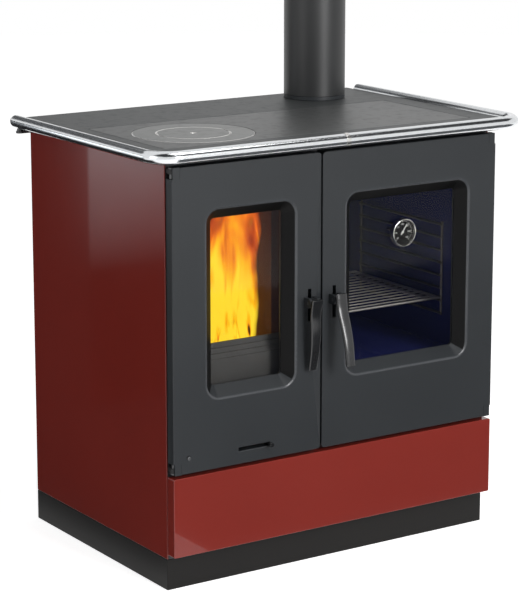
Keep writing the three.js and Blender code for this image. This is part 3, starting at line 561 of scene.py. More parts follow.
@dataclass(frozen=True)
class ClearGlass(Finish):
    """Flat heat-proof glass: mostly clear, with a gloss and a trace of smoke in patches."""

    tint: Color
    cover: float = 0.1

    def paint(self, shader: Shader) -> None:
        """Builds the finish's nodes.

        Args:
            shader: The empty shader that takes them.
        """
        place = shader.place()
        haze = shader.clouds(place, 18, 4, 0.5)
        shader.surface(
            Base_Color=shader.blend(self.tint, BLACK, haze),
            Roughness=(haze * 0.04 + 0.02).clamped(),
            Alpha=(haze * 0.06 + self.cover).clamped(),
            Coat_Weight=0.3,
            Coat_Roughness=0.02,
        )


@dataclass(frozen=True)
class Flame(Finish):
    """Burning gas: yellow low down, orange and thin at the top, drawn out in rising streaks."""

    left: float
    right: float
    low: float
    high: float
    seed: float
    strength: float = 1.5
    glow: tuple[tuple[float, Color], ...] = (
        (0.0, (0.16, 0.016, 0.004, 1)),
        (0.2, (0.42, 0.045, 0.006, 1)),
        (0.4, (0.72, 0.12, 0.008, 1)),
        (0.6, (0.9, 0.27, 0.008, 1)),
        (0.8, (0.98, 0.47, 0.008, 1)),
        (1.0, (1.0, 0.68, 0.03, 1)),
    )

    def paint(self, shader: Shader) -> None:
        """Builds the finish's nodes.

        Args:
            shader: The empty shader that takes them.
        """
        place = shader.place()
        across, _, height = shader.axes(place)
        rise = ((height - self.low) / (self.high - self.low)).clamped()
        origin = Vector((self.seed, self.seed * 0.7, self.seed * 1.3))
        sway = shader.clouds(shader.shifted(place, origin, (2, 2, 7)), 1.0, 2)
        streaks = shader.clouds(shader.shifted(place, origin, (19, 8, 5.5)), 1.0, 2, 1.3)
        wisps = shader.clouds(shader.shifted(place, origin, (48, 14, 11)), 1.0, 2, 1.0)
        billows = shader.clouds(shader.shifted(place, origin, (9, 5, 4)), 1.0, 1, 0.5)
        cooler = rise**1.8 * 0.95
        foot = (1.0 - rise * 3.2).clamped()
        contrast = (streaks - 0.5) * 2.3 + (wisps - 0.5) * (foot * 2.4 + 0.5) + (billows - 0.5) * 1.0
        heat = (1.0 - cooler + contrast).clamped()
        waist = (sway - 0.5) * 0.07 + (billows - 0.5) * 0.03
        near_left = (across + waist - self.left) * 90
        near_right = (self.right - across + waist + (rise - 1.0) * 0.022) * 60
        gaps = (rise * 12 + (wisps - 0.44) * 12 + (streaks - 0.5) * 6 + 0.6).clamped()
        crown = (1.3 - rise + (streaks - 0.5) * 0.9) * 4
        body = near_left.least(near_right).least(gaps).least(crown).clamped()
        shader.surface(
            Base_Color=BLACK,
            Roughness=1.0,
            Emission_Color=shader.ramp(heat, self.glow),
            Emission_Strength=self.strength,
            Alpha=(body * (0.35 + heat * 1.2)).clamped(),
            Specular_IOR_Level=0.0,
        )


@dataclass(frozen=True)
class CharredWood(Finish):
    """Burning wood: black, cracked into blocks, glowing in the cracks."""

    glow: float = 2.5
    cracks: float = 46

    def paint(self, shader: Shader) -> None:
        """Builds the finish's nodes.

        Args:
            shader: The empty shader that takes them.
        """
        place = shader.place()
        crack = shader.cells(place, self.cracks, "DISTANCE_TO_EDGE")
        lit = ((0.1 - crack) * 14 * shader.clouds(place, 16, 3)).clamped()
        ash = ((shader.clouds(place, 60, 5) - 0.5) * 4).clamped()
        ember = shader.ramp(lit, ((0.0, BLACK), (0.4, (0.5, 0.03, 0, 1)), (1.0, (1.0, 0.28, 0.03, 1))))
        shader.surface(
            Base_Color=shader.blend((0.008, 0.007, 0.006, 1), (0.16, 0.15, 0.14, 1), ash),
            Roughness=(0.75 + ash * 0.2).clamped(),
            Emission_Color=ember,
            Emission_Strength=self.glow,
            Normal=shader.relief(crack + ash * 0.05, 3 * MM),
        )


@dataclass(frozen=True)
class PrintedMark(Finish):
    """White printing or paint on a dial."""

    color: Color

    def paint(self, shader: Shader) -> None:
        """Builds the finish's nodes.

        Args:
            shader: The empty shader that takes them.
        """
        place = shader.place()
        wear = shader.clouds(place, 700, 3)
        shader.surface(
            Base_Color=shader.blend(self.color, (0.5, 0.5, 0.48, 1), (wear * 0.5 - 0.1).clamped()),
            Roughness=(wear * 0.15 + 0.4).clamped(),
            Normal=shader.relief(wear, 0.01 * MM),
        )


RED_ENAMEL = VitreousEnamel(
    "fired red enamel",
    color=paint_color(132, 45, 37),
    thick=paint_color(119, 38, 31),
    gloss=0.5,
    mirror=0.15,
)
OVEN_ENAMEL = VitreousEnamel(
    "speckled oven enamel",
    color=paint_color(50, 56, 134),
    thick=paint_color(34, 40, 98),
    roughness=0.24,
    gloss=0.35,
    ripple=0.15 * MM,
    specks=0.8,
)
DOOR_PAINT = CastPaint(
    "charcoal paint on cast iron", color=paint_color(31, 34, 37), worn=paint_color(38, 41, 44)
)
# Near-black paint for the window's slanted flanks: painted shade, darkening the recess sides as if they
# were unlit.
WINDOW_FLANK_SHADE_PAINT = CastPaint(
    "painted shade on the window flanks",
    color=paint_color(10, 10, 11),
    worn=paint_color(16, 16, 16),
    roughness=0.4,
    depth=0.08 * MM,
    mirror=0.1,
)
# Lighter, glossier paint for the window's rounded rim: the lighter colour is a painted highlight along the
# edge, the gloss is real.
RIM_HIGHLIGHT_PAINT = CastPaint(
    "paint lightened as a highlight on the window rim",
    color=paint_color(68, 70, 73),
    worn=paint_color(52, 54, 57),
    roughness=0.26,
    depth=0.04 * MM,
)
PLINTH_PAINT = CastPaint(
    "plinth paint",
    color=paint_color(22, 21, 20),
    worn=paint_color(29, 28, 27),
    roughness=0.5,
    grain=800,
    depth=0.06 * MM,
    mirror=0.16,
)
HANDLE_PAINT = CastPaint(
    "black handle lacquer",
    color=paint_color(15, 16, 18),
    worn=paint_color(22, 23, 25),
    roughness=0.24,
    grain=700,
    depth=0.03 * MM,
    gloss=0.5,
)
FRAME_PAINT = CastPaint(
    "black front frame paint",
    color=paint_color(26, 26, 27),
    worn=paint_color(36, 36, 37),
    roughness=0.5,
)
DIAL_FACE = CastPaint(
    "black dial face",
    color=paint_color(8, 8, 9),
    worn=paint_color(14, 14, 15),
    roughness=0.5,
    grain=900,
    depth=0.02 * MM,
    mirror=0.06,
)
INNER_IRON = SootedIron(
    "sooted cast iron",
    iron=paint_color(60, 59, 58),
    soot=paint_color(32, 30, 29),
    rust=paint_color(90, 56, 38),
)
GUARD_IRON = SootedIron(
    "ash-dusted log guard",
    iron=paint_color(86, 85, 82),
    soot=paint_color(62, 61, 59),
    rust=paint_color(100, 80, 62),
    rust_share=0.1,
)
HOB_FRAME_STEEL = HobSteel(
    "hob frame steel",
    color=paint_color(53, 56, 57),
    heated=paint_color(64, 66, 66),
    centre=Vector((0, 0, 0)),
    roughness=0.5,
)
HOB_PLATE_STEEL = HobSteel(
    "hob plate steel",
    color=paint_color(62, 65, 66),
    heated=paint_color(78, 78, 77),
    centre=Vector((0, 0, 0)),
    roughness=0.44,
)
POLISHED_RIM = PlatedMetal(
    "polished rim",
    color=paint_color(214, 213, 210),
    shade=paint_color(168, 166, 162),
    roughness=0.22,
)
CHROME = PlatedMetal(
    "polished chrome",
    color=paint_color(222, 224, 226),
    shade=paint_color(190, 193, 196),
    roughness=0.16,
)
WIRE_CHROME = PlatedMetal(
    "chromed wire",
    color=paint_color(196, 191, 186),
    shade=paint_color(150, 142, 134),
    roughness=0.4,
    smear=0.12,
)
LADDER_WIRE = PlatedMetal(
    "heat-dulled wire",
    color=paint_color(128, 122, 118),
    shade=paint_color(88, 82, 78),
    roughness=0.42,
    smear=0.12,
)
ZINC = PlatedMetal(
    "zinc plate",
    color=paint_color(178, 180, 181),
    shade=paint_color(136, 138, 140),
    roughness=0.28,
    spangle=0.5,
    smear=0.1,
)
GALVANISED = PlatedMetal(
    "galvanised sheet",
    color=paint_color(120, 122, 124),
    shade=paint_color(84, 86, 88),
    roughness=0.36,
    spangle=0.6,
    smear=0.12,
)
DULL_STEEL = PlatedMetal(
    "blackened steel pin",
    color=paint_color(98, 99, 100),
    shade=paint_color(70, 71, 72),
    roughness=0.4,
    smear=0.15,
)
FLUE_PAINT = SheetPaint(
    "flue black", color=paint_color(24, 25, 26), pale=paint_color(32, 33, 34), roughness=0.42
)
BACK_PAINT = SheetPaint("sheet black", color=paint_color(44, 46, 49), pale=paint_color(54, 56, 58))
GLASS = ClearGlass("heat-proof glass", tint=(0.02, 0.025, 0.04, 1.0), cover=0.06)
LENS = ClearGlass("dial lens", tint=(0.03, 0.03, 0.03, 1.0), cover=0.04)
DIAL_MARKS = PrintedMark("dial printing", color=paint_color(236, 236, 232))


# ------------------------------------------------------------------ bench
def once(items: Iterable[Element]) -> list[Element]:
    """Lists items in the order in which they come, each of them once."""
    return list(dict.fromkeys(items))


def edge_middle(edge: bmesh.types.BMEdge) -> Vector:
    """Gives the middle of an edge."""
    return (edge.verts[0].co + edge.verts[1].co) / 2


def unevenness(point: Vector, layers: Sequence[tuple[float, float]]) -> float:
    """Sums noise at a point over layers of (lumps per metre, their height)."""
    return sum(noise.noise(point * lumps) * height for lumps, height in layers)


def round_edges(
    shape: bmesh.types.BMesh,
    edges: Sequence[bmesh.types.BMEdge],
    width: float,
    segments: int = 2,
    material: int = -1,
) -> None:
    """Rounds edges of a mesh.

    Args:
        shape: The mesh.
        edges: The edges.
        width: How far the rounding reaches from the edge, in metres.
        segments: Its segments.
        material: The material index of the new faces, or -1 for that of their neighbours.
    """
    bmesh.ops.bevel(
        shape,
        geom=edges,
        offset=width,
        segments=segments,
        profile=0.5,
        affect="EDGES",
        clamp_overlap=False,
        material=material,
    )


def drawn_out(
    shape: bmesh.types.BMesh, loop: Sequence[bmesh.types.BMEdge]
) -> tuple[list[bmesh.types.BMVert], list[bmesh.types.BMEdge]]:
    """Extrudes an open loop of edges in place.

    Args:
        shape: The mesh.
        loop: The loop.

    Returns:
        The corners and the edges of the new loop, ready to be moved.
    """
    grown = bmesh.ops.extrude_edge_only(shape, edges=loop)["geom"]
    corners = [item for item in grown if isinstance(item, bmesh.types.BMVert)]
    inside = set(corners)
    edges = [
        item
        for item in grown
        if isinstance(item, bmesh.types.BMEdge) and all(vert in inside for vert in item.verts)
    ]
    return corners, edges


class Piece:
    """One mesh on the bench: bmesh operators go in, a finished object comes out."""

    def __init__(self, name: str) -> None:
        """Starts an empty mesh.

        Args:
            name: The finished object's name.
        """
        self.name = name
        self.shape = bmesh.new()

    @classmethod
    def copied(cls, name: str, *nodes: str) -> "Piece":
        """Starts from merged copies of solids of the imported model.

        Args:
            name: The finished object's name.
            *nodes: The solids.

        Returns:
            The piece, with its flat faces whole again.
        """
        piece = cls(name)
        for node in nodes:
            piece.shape.from_mesh(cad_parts[node].data)
        bmesh.ops.remove_doubles(piece.shape, verts=piece.shape.verts, dist=0.02 * MM)
        bmesh.ops.dissolve_limit(
            piece.shape, angle_limit=math.radians(0.8), verts=piece.shape.verts, edges=piece.shape.edges
        )
        return piece

    def ease(
        self,
        width: float,
        segments: int = 2,
        least: float = 42,
        where: Callable[[bmesh.types.BMEdge], bool] | None = None,
        material: int = -1,
    ) -> "Piece":
        """Rounds the sharp edges.

        Args:
            width: How far the rounding reaches from the edge, in metres.
            segments: Its segments.
            least: Only edges that turn by more than this many degrees are rounded.
            where: A further test that an edge has to pass.
            material: The material index of the new faces, or -1 for that of their neighbours.

        Returns:
            The piece itself.
        """
        sharp = [
            edge
            for edge in self.shape.edges
            if len(edge.link_faces) == 2
            and edge.calc_face_angle(0) > math.radians(least)
            and (where is None or where(edge))
        ]
        round_edges(self.shape, sharp, width, segments, material)
        return self

    def spun(
        self, profile: Sequence[tuple[float, float]], centre: Vector, axis: Vector, steps: int = 64
    ) -> "Piece":
        """Turns a closed profile into a ring or a solid of revolution.

        Args:
            profile: (radius, distance along the axis) corners, in metres.
            centre: A point on the axis.
            axis: The axis.
            steps: Steps round the circle.

        Returns:
            The piece itself.
        """
        side = axis.orthogonal().normalized()
        corners = [self.shape.verts.new(centre + side * radius + axis * along) for radius, along in profile]
        sides = [self.shape.edges.new(pair) for pair in zip(corners, corners[1:] + corners[:1])]
        bmesh.ops.spin(
            self.shape,
            geom=corners + sides,
            cent=centre,
            axis=axis,
            angle=math.tau,
            steps=steps,
            use_merge=True,
        )
        bmesh.ops.remove_doubles(self.shape, verts=self.shape.verts, dist=0.01 * MM)
        return self

    def rod(self, start: Vector, end: Vector, radius: float, sides: int = 14) -> "Piece":
        """Adds a round rod with eased ends.

        Args:
            start: The middle of one end.
            end: The middle of the other.
            radius: The rod's radius.
            sides: Its sides.

        Returns:
            The piece itself.
        """
        along = end - start
        turn = along.to_track_quat("Z", "Y").to_matrix().to_4x4()
        made = bmesh.ops.create_cone(
            self.shape,
            cap_ends=True,
            segments=sides,
            radius1=radius,
            radius2=radius,
            depth=along.length,
            matrix=Matrix.Translation((start + end) / 2) @ turn,
        )
        faces = once(face for vert in made["verts"] for face in vert.link_faces)
        rims = once(edge for face in faces if len(face.verts) == sides for edge in face.edges)
        round_edges(self.shape, rims, radius * 0.35)
        return self

    def block(self, low: Vector, high: Vector) -> "Piece":
        """Adds a block.

        Args:
            low: Its lowest corner.
            high: Its highest corner.

        Returns:
            The piece itself.
        """
        size = high - low
        scale = Matrix.Diagonal((size.x, size.y, size.z, 1))
        bmesh.ops.create_cube(self.shape, size=1, matrix=Matrix.Translation((low + high) / 2) @ scale)
        return self

    def finish(
        self,
        finishes: Sequence[Finish],
        body: Body,
        slot: Slot | None = None,
        replaces: Sequence[str] = (),
        smooth: float = 38,
    ) -> bpy.types.Object:
        """Hands the mesh over as a dressed piece that rides on its body.

        Args:
            finishes: The finishes, by material index.
            body: The body that carries it.
            slot: The record's slot, where it has one; not used.
            replaces: The solids that it stands for.
            smooth: Edges that turn by less than this many degrees are shaded smooth.

        Returns:
            The finished object.
        """
        bmesh.ops.recalc_face_normals(self.shape, faces=self.shape.faces)
        mesh = bpy.data.meshes.new(self.name)
        self.shape.to_mesh(mesh)
        self.shape.free()
        mesh.shade_smooth()
        mesh.set_sharp_from_angle(angle=math.radians(smooth))
        for finish in finishes:
            mesh.materials.append(finish.material())
        made = bpy.data.objects.new(self.name, mesh)
        bpy.context.scene.collection.objects.link(made)
        weighted = made.modifiers.new("weighted normals", "WEIGHTED_NORMAL")
        weighted.keep_sharp = True
        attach(made, body.value)
        if replaces:
            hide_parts(*replaces)
        LOG.info("%s: %d faces, on %s", self.name, len(mesh.polygons), body.value)
        return made


class Tube:
    """A round bar drawn out from a circle: straight runs, bends and a domed end."""

    def __init__(
        self, piece: Piece, start: Vector, heading: Vector, radius: float, sides: int = 40
    ) -> None:
        """Lays the first circle, closed by a face.

        Args:
            piece: The piece that takes the bar.
            start: The middle of its first end.
            heading: The way it runs.
            radius: Its radius.
            sides: Its sides.
        """
        self.shape = piece.shape
        self.middle = start.copy()
        self.heading = heading.normalized()
        self.radius = radius
        turn = self.heading.to_track_quat("Z", "Y").to_matrix().to_4x4()
        made = bmesh.ops.create_circle(
            self.shape,
            cap_ends=True,
            segments=sides,
            radius=radius,
            matrix=Matrix.Translation(start) @ turn,
        )
        self.loop = once(edge for vert in made["verts"] for edge in vert.link_edges)

    def run(self, length: float) -> "Tube":
        """Draws the bar straight on.

        Args:
            length: How far, in metres.

        Returns:
            The tube itself.
        """
        corners, self.loop = drawn_out(self.shape, self.loop)
        bmesh.ops.translate(self.shape, verts=corners, vec=self.heading * length)
        self.middle += self.heading * length
        return self

    def bend(self, pivot: Vector, axis: Vector, angle: float, steps: int) -> "Tube":
        """Draws the bar round a bend.

        Args:
            pivot: The bend's centre.
            axis: Its axis.
            angle: How far it turns, in radians.
            steps: In how many steps.

        Returns:
            The tube itself.
        """
        corners = once(vert for edge in self.loop for vert in edge.verts)
        last = bmesh.ops.spin(
            self.shape,
            geom=corners + self.loop,
            cent=pivot,
            axis=axis,
            angle=angle,
            steps=steps,
        )["geom_last"]
        self.loop = [item for item in last if isinstance(item, bmesh.types.BMEdge)]
        turn = Matrix.Rotation(angle, 3, axis)
        self.middle = pivot + turn @ (self.middle - pivot)
        self.heading = turn @ self.heading
        return self

    def dome(self, steps: int = 7, tip: float = 0.02) -> None:
        """Closes the bar with a half ball.

        Args:
            steps: Rings of the half ball.
            tip: Width of the last ring, as a share of the bar's.
        """
        before = 0.0
        width = 1.0
        for step in range(1, steps + 1):
            angle = (math.pi / 2) * step / steps
            reach = self.radius * math.sin(angle)
            self.run(reach - before)
            before = reach
            narrower = max(math.cos(angle), tip)
            corners = once(vert for edge in self.loop for vert in edge.verts)
            bmesh.ops.scale(
                self.shape,
                verts=corners,
                vec=(narrower / width,) * 3,
                space=Matrix.Translation(-self.middle),
            )
            width = narrower
        bmesh.ops.contextual_create(self.shape, geom=self.loop)


def span(node: str) -> tuple[Vector, Vector, Vector]:
    """Gives a solid's lowest corner, highest corner and middle."""
    low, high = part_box(node)
    return low, high, (low + high) / 2


def eased_copy(
    node: str,
    finish: Finish,
    body: Body,
    slot: Slot,
    width: float = 0.8 * MM,
    segments: int = 2,
) -> bpy.types.Object:
    """Dresses a solid as it is, with its edges eased.

    Args:
        node: The solid.
        finish: Its finish.
        body: The body that carries it.
        slot: Its slot.
        width: How far its edges are eased.
        segments: Segments of the rounding.

    Returns:
        The finished object.
    """
    piece = Piece.copied(node + "_finished", node).ease(width, segments)
    return piece.finish([finish], body, slot, [node])


# ------------------------------------------------------------------ sub-assemblies
@dataclass
class Casing:
    """The plinth, the enamelled sides, the back, the base and the front frame."""

    plinth_edge: float = 1.5 * MM
    panel_edge: float = 1.1 * MM
    frame_edge: float = 0.6 * MM
    runner_edge: float = 0.5 * MM

    def build(self) -> None:
        """Makes the casing's pieces."""
        eased_copy("plinth", PLINTH_PAINT, Body.STOVE, Slot.PLINTH, self.plinth_edge)
        for side in ("left", "right"):
            panel = side + "_side_panel"
            eased_copy(panel, RED_ENAMEL, Body.STOVE, Slot.RED_ENAMEL, self.panel_edge, segments=3)
            eased_copy("drawer_runner_" + side, ZINC, Body.STOVE, Slot.ZINC, self.runner_edge)
        eased_copy("back_panel", BACK_PAINT, Body.STOVE, Slot.DARK_STEEL, self.panel_edge)
        eased_copy("base_panel", BACK_PAINT, Body.STOVE, Slot.DARK_STEEL, self.frame_edge)
        eased_copy("front_frame", FRAME_PAINT, Body.STOVE, Slot.CAST_IRON, self.frame_edge)


@dataclass
class Drawer:
    """The drawer's enamelled front and its sheet box."""

    front_edge: float = 1.4 * MM
    box_edge: float = 0.5 * MM

    def build(self) -> None:
        """Makes the drawer's pieces."""
        eased_copy(
            "drawer_front", RED_ENAMEL, Body.DRAWER, Slot.RED_ENAMEL, self.front_edge, segments=3
        )
        eased_copy("drawer_box", GALVANISED, Body.DRAWER, Slot.DARK_STEEL, self.box_edge)


@dataclass
class Firebox:
    """The shell, bricks, grate, baffle, log guard and ash pan."""

    brick_edge: float = 2.2 * MM
    cast_edge: float = 0.8 * MM
    grate_edge: float = 1.5 * MM
    pan_edge: float = 0.5 * MM

    def build(self) -> None:
        """Makes the firebox's pieces."""
        eased_copy("firebox_shell", INNER_IRON, Body.STOVE, Slot.CAST_IRON, self.cast_edge)
        eased_copy("fire_grate", INNER_IRON, Body.STOVE, Slot.CAST_IRON, self.grate_edge)
        eased_copy("log_guard", GUARD_IRON, Body.STOVE, Slot.CAST_IRON, self.cast_edge)
        low, _, _ = span("firebrick_back")
        _, high, _ = span("smoke_baffle")
        brick = FiredBrick(
            "smoked firebrick",
            clay=paint_color(92, 54, 38),
            smoke=paint_color(44, 27, 21),
            low=low.z,
            high=high.z,
        )
        for node in ("firebrick_left", "firebrick_right", "firebrick_back", "smoke_baffle"):
            eased_copy(node, brick, Body.STOVE, Slot.FIREBRICK, self.brick_edge, segments=3)
        eased_copy("ash_pan", GALVANISED, Body.ASH_PAN, Slot.ZINC, self.pan_edge)


@dataclass(frozen=True)
class Hearth:
    """The faces that enclose the fire: X of the side bricks, Y of the guard and the back brick, Z."""

    left: float
    right: float
    front: float
    back: float
    floor: float
    ceiling: float


@dataclass(frozen=True)
class Log:
    """One log: how far it lies behind the guard and over the grate, and how it is turned."""

    name: str
    behind: float
    above: float
    lean: float


@dataclass(frozen=True)
class Curtain:
    """One curtain of flame: how far it hangs behind the guard and ends before the right brick."""

    name: str
    behind: float
    before_brick: float
    seed: float
    strength: float


@dataclass
class Fire:
    """Two charred logs on an ember bed, and the flames above them."""

    logs: tuple[Log, ...] = (
        Log("lower_log", behind=75 * MM, above=45 * MM, lean=0.2),
        Log("upper_log", behind=170 * MM, above=70 * MM, lean=-0.35),
    )
    curtains: tuple[Curtain, ...] = (
        Curtain("near_flames", behind=24 * MM, before_brick=2 * MM, seed=0.3, strength=1.25),
        Curtain("middle_flames", behind=70 * MM, before_brick=6 * MM, seed=1.9, strength=1.35),
        Curtain("far_flames", behind=150 * MM, before_brick=20 * MM, seed=3.1, strength=1.2),
    )
    log_radius: float = 33 * MM
    log_inset: float = 10 * MM
    log_rise: float = 4 * MM
    log_sides: int = 28
    log_cuts: int = 30
    bark: tuple[tuple[float, float], ...] = ((30, 0.16), (95, 0.07))
    bed_height: float = 24 * MM
    bed_foot: float = 0.6 * MM
    bed_side_gap: float = 2 * MM
    bed_front_gap: float = 4 * MM
    bed_back_gap: float = 60 * MM
    bed_sink: float = 5 * MM
    bed_cuts: int = 22
    bed_lumps: tuple[tuple[float, float], ...] = ((46, 9 * MM), (120, 3 * MM))
    flame_left_gap: float = 4 * MM
    flame_root: float = 112 * MM
    flame_tip: float = 10 * MM
    curtain_foot: float = 50 * MM
    curtain_top_gap: float = 3 * MM
    curtain_side_gap: float = 1 * MM
    curtain_columns: int = 26
    curtain_rows: int = 44
    curtain_thickness: float = 1.5 * MM
    fold_depth: float = 14 * MM
    folds_across: float = 26
    folds_up: float = 8

    def build(self) -> None:
        """Makes the fire."""
        hearth = Hearth(
            left=span("firebrick_left")[1].x,
            right=span("firebrick_right")[0].x,
            front=span("log_guard")[1].y,
            back=span("firebrick_back")[0].y,
            floor=span("fire_grate")[1].z,
            ceiling=span("smoke_baffle")[0].z,
        )
        self._bed(hearth)
        for log in self.logs:
            self._log(log, hearth)
        for curtain in self.curtains:
            self._curtain(curtain, hearth)

    def _bed(self, hearth: Hearth) -> None:
        """Heaps the embers.

        Args:
            hearth: The space that they lie in.
        """
        piece = Piece("ember_bed")
        side, front, back = self.bed_side_gap, self.bed_front_gap, self.bed_back_gap
        low = Vector((hearth.left + side, hearth.front + front, hearth.floor + self.bed_foot))
        high = Vector((hearth.right - side, hearth.back - back, hearth.floor + self.bed_height))
        piece.block(low, high)
        bmesh.ops.subdivide_edges(
            piece.shape, edges=piece.shape.edges, cuts=self.bed_cuts, use_grid_fill=True
        )
        for vert in piece.shape.verts:
            share = (vert.co.z - low.z) / (high.z - low.z)
            lump = unevenness(vert.co, self.bed_lumps)
            vert.co.z = max(low.z, vert.co.z + share * (lump - self.bed_sink))
        piece.finish([CharredWood("glowing embers", glow=3.0, cracks=60)], Body.STOVE)

    def _log(self, log: Log, hearth: Hearth) -> None:
        """Lays one log across the grate.

        Args:
            log: The log.
            hearth: The space that it lies in.
        """
        piece = Piece(log.name)
        half = (hearth.right - hearth.left) / 2 - self.log_inset
        reach = Vector((half * math.cos(log.lean), half * math.sin(log.lean), self.log_rise))
        middle = Vector(
            ((hearth.left + hearth.right) / 2, hearth.front + log.behind, hearth.floor + log.above)
        )
        piece.rod(middle - reach, middle + reach, self.log_radius, self.log_sides)
        side_edges = [edge for edge in piece.shape.edges if edge.calc_length() > half]
        bmesh.ops.subdivide_edges(piece.shape, edges=side_edges, cuts=self.log_cuts)
        for vert in piece.shape.verts:
            point = vert.co.copy()
            out = point - middle - reach * ((point - middle).dot(reach) / reach.length_squared)
            vert.co += out * unevenness(point, self.bark)
        piece.finish([CharredWood("charred log", glow=2.2, cracks=38)], Body.STOVE, smooth=60)

    def _curtain(self, curtain: Curtain, hearth: Hearth) -> None:
        """Hangs one folded curtain of flame.

        Args:
            curtain: The curtain.
            hearth: The space that it hangs in.
        """
        flame = Flame(
            "fire of " + curtain.name,
            left=hearth.left + self.flame_left_gap,
            right=hearth.right - curtain.before_brick,
            low=hearth.floor + self.flame_root,
            high=hearth.ceiling + self.flame_tip,
            seed=curtain.seed,
            strength=curtain.strength,
        )
        low = hearth.floor + self.curtain_foot
        high = hearth.ceiling - self.curtain_top_gap
        half_width = (hearth.right - hearth.left) / 2 - self.curtain_side_gap
        upright = Matrix.Rotation(math.pi / 2, 4, "X")
        size = Matrix.Diagonal((half_width, (high - low) / 2, 1, 1))
        middle = Vector(
            ((hearth.left + hearth.right) / 2, hearth.front + curtain.behind, (low + high) / 2)
        )
        piece = Piece(curtain.name)
        bmesh.ops.create_grid(
            piece.shape,
            x_segments=self.curtain_columns,
            y_segments=self.curtain_rows,
            size=1,
            matrix=Matrix.Translation(middle) @ upright @ size,
        )
        for vert in piece.shape.verts:
            across = vert.co.x * self.folds_across + curtain.seed
            fold = noise.noise(Vector((across, curtain.seed, vert.co.z * self.folds_up)))
            vert.co.y += fold * self.fold_depth
        bmesh.ops.solidify(piece.shape, geom=piece.shape.faces, thickness=self.curtain_thickness)
        piece.finish([flame], Body.STOVE, smooth=80)


@dataclass
class Oven:
    """The enamelled cavity, its wire ladders and the rack."""

    cavity_edge: float = 0.8 * MM
    wire: float = 2.5 * MM
    weld: float = 1 * MM
    rungs: int = 8
    rim_wire: float = 3 * MM
    cross_wire: float = 1.8 * MM
    cross_sides: int = 12
    bearer_inset: float = 28 * MM
    crossings: int = 13

    def build(self) -> None:
        """Makes the oven's pieces."""
        eased_copy("oven_cavity", OVEN_ENAMEL, Body.STOVE, Slot.OVEN_ENAMEL, self.cavity_edge)
        self._ladder("rack_support_left", 1)
        self._ladder("rack_support_right", -1)
        self._rack()

    def _ladder(self, node: str, inwards: int) -> None:
        """Welds one ladder of wire.

        Args:
            node: The solid that it stands for.
            inwards: 1 where the oven lies to its right, -1 to its left.
        """
        low, high, _ = span(node)
        upright_x = low.x + self.wire if inwards > 0 else high.x - self.wire
        rung_x = upright_x + inwards * (2 * self.wire - self.weld)
        piece = Piece(node + "_welded")
        for y in (low.y + self.wire, high.y - self.wire):
            piece.rod(Vector((upright_x, y, low.z)), Vector((upright_x, y, high.z)), self.wire)
        first = low.z + 2 * self.wire
        pitch = (high.z - low.z - 4 * self.wire) / (self.rungs - 1)
        for rung in range(self.rungs):
            z = first + pitch * rung
            piece.rod(Vector((rung_x, low.y, z)), Vector((rung_x, high.y, z)), self.wire)
        piece.finish([LADDER_WIRE], Body.STOVE, Slot.CHROME, [node])

    def _rack(self) -> None:
        """Welds the rack: four bearers from front to back, and the wires across them."""
        low, high, middle = span("oven_rack")
        left = low.x + self.rim_wire
        right = high.x - self.rim_wire
        front = low.y + self.rim_wire
        back = high.y - self.rim_wire
        piece = Piece("oven_rack_welded")
        for x in (left, left + self.bearer_inset, right - self.bearer_inset, right):
            piece.rod(Vector((x, front, middle.z)), Vector((x, back, middle.z)), self.rim_wire)
        pitch = (back - front) / (self.crossings + 1)
        for place in range(self.crossings + 2):
            on_rim = place in (0, self.crossings + 1)
            radius = self.rim_wire if on_rim else self.cross_wire
            past = self.rim_wire if on_rim else 0.0
            start = Vector((left - past, front + pitch * place, middle.z))
            end = Vector((right + past, front + pitch * place, middle.z))
            piece.rod(start, end, radius, self.cross_sides)
        piece.finish([WIRE_CHROME], Body.OVEN_RACK, Slot.CHROME, ["oven_rack"])


@dataclass
class Hob:
    """The hob frame, the cooking plate, the lift-out ring and its disc."""

    rim: float = 2.6 * MM
    rim_reach: float = 40 * MM
    groove: float = 1.3 * MM
    ring_rim: float = 1.8 * MM
    sharp: float = 50
    level: float = 0.1 * MM

    def build(self) -> None:
        """Makes the hob's pieces."""
        self._frame()
        eased_copy("cooking_plate", HOB_PLATE_STEEL, Body.STOVE, Slot.HOB_STEEL, self.groove)
        self._rings()

    def _frame(self) -> None:
        """Rounds the frame's outer rim more than the edges of its openings."""
        low, high, _ = span("hob_frame")
        left, right, front = low.x + self.rim_reach, high.x - self.rim_reach, low.y + self.rim_reach

        def outside(edge: bmesh.types.BMEdge) -> bool:
            """Tells the outer rim from the openings."""
            middle = edge_middle(edge)
            return middle.x < left or middle.x > right or middle.y < front

        piece = Piece.copied("hob_frame_finished", "hob_frame")
        piece.ease(self.rim, 3, self.sharp, outside)
        piece.ease(self.groove, 2, self.sharp, lambda edge: not outside(edge))
        piece.finish([HOB_FRAME_STEEL], Body.STOVE, Slot.HOB_STEEL, ["hob_frame"])

    def _rings(self) -> None:
        """Turns the ring and its disc, with a polished rim round the top of each."""
        _, top, _ = span("hob_frame")
        _, _, centre = span("hob_ring")
        steel = HobSteel(
            "turned ring steel",
            color=paint_color(92, 95, 95),
            heated=paint_color(110, 110, 108),
            centre=centre,
            turned=True,
            roughness=0.42,
        )

        def on_top(edge: bmesh.types.BMEdge) -> bool:
            """Picks the edges of the top face."""
            return all(vert.co.z > top.z - self.level for vert in edge.verts)

        for node, body in (("hob_ring", Body.HOB_RING), ("hob_disc", Body.HOB_DISC)):
            piece = Piece.copied(node + "_finished", node)
            piece.ease(self.ring_rim, 2, self.sharp, on_top, material=1)
            piece.finish([steel, POLISHED_RIM], body, Slot.HOB_STEEL, [node])


